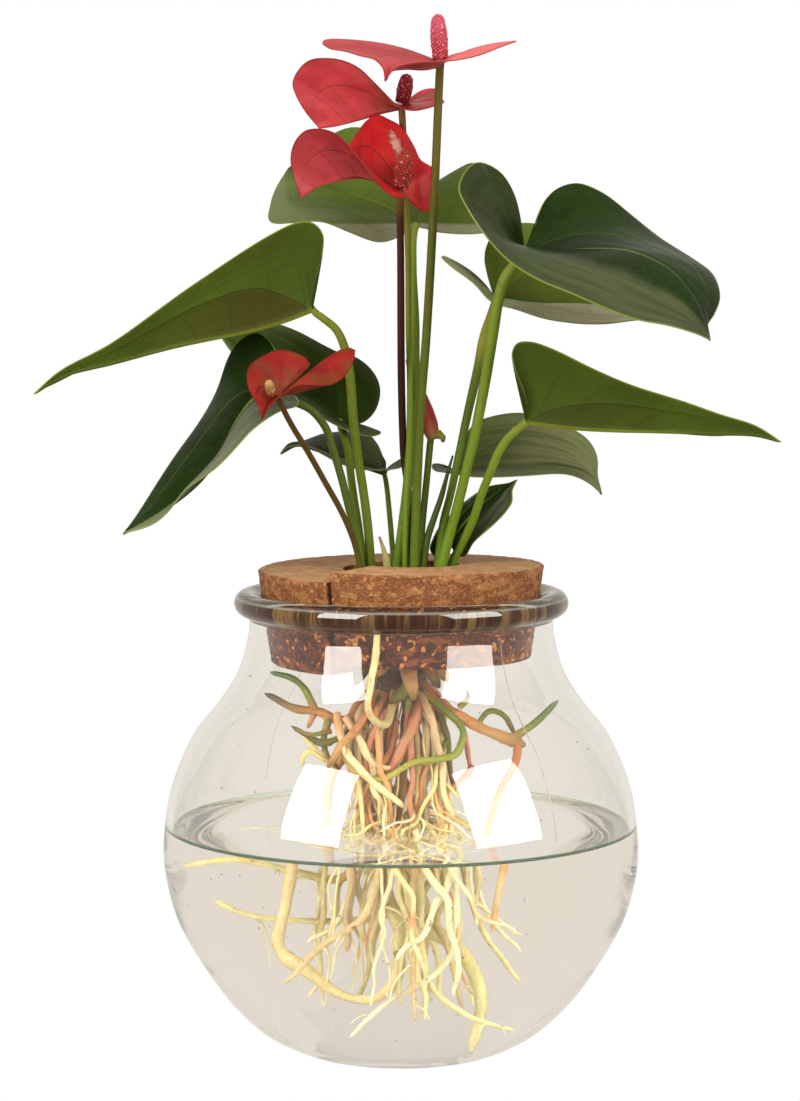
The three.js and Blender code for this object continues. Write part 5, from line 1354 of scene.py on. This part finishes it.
def small_things():
    """Bubbles that cling to the glass under the water and float at its edge, and specks of bark in the neck."""
    draw = random.Random(SEED + 4)
    bubbles, specks = [], []
    for _ in range(90):
        a, z = draw.random() * FULL_TURN, draw.uniform(14, 88)
        size = draw.choice([0.2, 0.25, 0.3, 0.45])
        bubbles.append((round_at(a, inner_radius(z) - size - 0.25, z), size))
    for _ in range(26):
        a, r, size = draw.random() * FULL_TURN, draw.uniform(5, 60), draw.uniform(0.4, 1.0)
        bubbles.append((round_at(a, r, WATER_LEVEL - size - 0.15), size))
    for _ in range(70):
        a, z = draw.random() * FULL_TURN, draw.choice([draw.uniform(100, 156), draw.uniform(20, 88)])
        specks.append((round_at(a, inner_radius(z) - 0.4, z), draw.uniform(0.12, 0.3)))
    for name, dots, skin, slot in (("bubbles", bubbles, bubble_skin, "water"),
                                   ("bark_specks", specks, bark_skin, "cork")):
        places, sizes = zip(*dots)
        finish_piece(dots_grower.grow(host_mesh(name, places, size=sizes), skin=skin), slot)


small_things()

# Cork collar


def cork_piece():
    """A ring cut through at the slit, with its two ends slipped past each other, chipped at its edges."""
    bottom = CORK_TOP - CORK_HEIGHT
    corners = [
        (CORK_HOLE, bottom), (CORK_BOTTOM_RADIUS - CORK_CHAMFER, bottom), (CORK_BOTTOM_RADIUS, bottom + CORK_CHAMFER),
        (CORK_TOP_RADIUS, CORK_TOP - CORK_CHAMFER), (CORK_TOP_RADIUS - CORK_CHAMFER, CORK_TOP), (CORK_HOLE, CORK_TOP),
    ]
    section = []
    for (r0, z0), (r1, z1) in zip(corners, corners[1:] + corners[:1]):
        steps = max(2, int(math.hypot(r1 - r0, z1 - z0) / 1.1))
        section += [(r0 + (r1 - r0) * k / steps, z0 + (z1 - z0) * k / steps) for k in range(steps)]
    half = math.degrees(CORK_SLIT_WIDTH / 2 / CORK_HOLE)
    steps, vertices = 300, []
    for share in (step / steps for step in range(steps + 1)):
        angle = math.radians(CORK_SLIT_ANGLE + half + (360 - 2 * half) * share)
        lift = CORK_LIFT[0] + (CORK_LIFT[1] - CORK_LIFT[0]) * share
        for r, z in section:
            p = Vector(round_at(angle, r, z))
            worn = 0.35 * noise.noise(p * 0.5) + 0.25 * noise.noise(p * 1.3) - 0.2
            pit = max(0.0, noise.noise(p * 0.22 + Vector((5, 1, 2))) - 0.52) * 6
            r_out = r + (worn - pit if r > CORK_HOLE + 2 else -worn * 0.6)
            z_out = z + (worn * 0.5 if z > CORK_TOP - 0.1 else 0)
            vertices.append(round_at(angle, r_out, z_out + lift))
    on_top = [int((z + after) / 2 > CORK_TOP - 0.2) for (_, z), (_, after) in zip(section, section[1:] + section[:1])]
    return new_piece("cork_ring", vertices, ring_faces(steps + 1, len(section)), [cork_side, cork_top],
                     on_top * steps + [0, 0], sharp=50)


finish_piece(cork_piece(), "cork", "cork_collar")

# Light and camera

scene = bpy.context.scene
scene.world = bpy.data.worlds.new("studio")
w = Finish("studio", scene.world)
ray = {label: w.out("ShaderNodeLightPath", output=label)
       for label in ("Is Camera Ray", "Is Glossy Ray", "Is Transmission Ray", "Ray Depth")}
first = ray["Is Glossy Ray"] * w.calc("LESS_THAN", ray["Ray Depth"], 1.5)
front = w.fit(first, 0.0, 1.0, 0.5, 0.12, smooth=False)
behind = w.fit(w.part(w.out("ShaderNodeTexCoord", output="Generated"), 1), -0.5, 0.7, front, 0.8)
room, through, white = (
    w.out("ShaderNodeBackground", {"Color": colour, "Strength": strength})
    for colour, strength in (((1.0, 0.965, 0.9), behind), ((0.85, 0.79, 0.715), 1.0), ((1.0, 1.0, 1.0), 1.0)))
w.show(w.blend(ray["Is Camera Ray"], w.blend(ray["Is Transmission Ray"], room, through), white))


def softbox(name, azimuth, elevation, distance, width, height, power, target=(0, 0, 0.2)):
    """A lamp that faces the target from an azimuth and an elevation in degrees. Lengths in metres, power in watts."""
    lamp = bpy.data.lights.new(name, "AREA")
    lamp.shape, lamp.size, lamp.size_y, lamp.energy = "RECTANGLE", width, height, power
    lamp.color = (1.0, 0.97, 0.92)
    a, e = math.radians(azimuth), math.radians(elevation)
    box = link(bpy.data.objects.new(name, lamp))
    back = Vector((math.sin(a) * math.cos(e), -math.cos(a) * math.cos(e), math.sin(e)))
    box.location = Vector(target) + back * distance
    box.rotation_mode = "QUATERNION"
    box.rotation_quaternion = back.to_track_quat("Z", "Y")
    box.visible_camera = box.visible_transmission = False
    return box


softbox("left_softbox", -43, 22, 1.3, 0.68, 0.92, 17)
softbox("right_softbox", 52, 22, 1.3, 0.84, 0.92, 13)
softbox("top_softbox", 10, 80, 1.3, 1.2, 1.2, 12).visible_glossy = False
softbox("low_fill", 0, -12, 1.5, 1.4, 1.0, 7).visible_glossy = False
polished = bpy.data.collections.new("polished_glass")
polished.objects.link(bpy.data.objects["glass_vase"])
for side, azimuth, width in (("left", -43, 0.68), ("right", 52, 0.84)):  # the bright windows on the glass
    shine = softbox(f"{side}_shine", azimuth, 22, 1.25, width * 0.96, 0.88, 15 * width / 0.68)
    shine.visible_diffuse = False
    shine.light_linking.receiver_collection = polished

PHOTO_HEIGHT, FOCAL_PIXELS, PITCH, LOOK_DISTANCE, SENSOR = 1101, 3115.0, math.radians(5.3), 1.24, 36.0
camera = link(bpy.data.objects.new("camera", bpy.data.cameras.new("camera")))
camera.data.sensor_width = SENSOR
camera.data.lens = FOCAL_PIXELS * SENSOR / PHOTO_HEIGHT
camera.data.clip_start = 0.01
camera.location = Vector((-0.0004, 0, 0.2006)) + Vector((0, -math.cos(PITCH), math.sin(PITCH))) * LOOK_DISTANCE
camera.rotation_euler = (math.pi / 2 - PITCH, 0, 0)
scene.camera = camera
scene.view_settings.view_transform = "Standard"
scene.cycles.caustics_reflective = False
scene.cycles.max_bounces = scene.cycles.transmission_bounces = scene.cycles.glossy_bounces = 40
scene.cycles.transparent_max_bounces = 32
scene.cycles.diffuse_bounces = 3
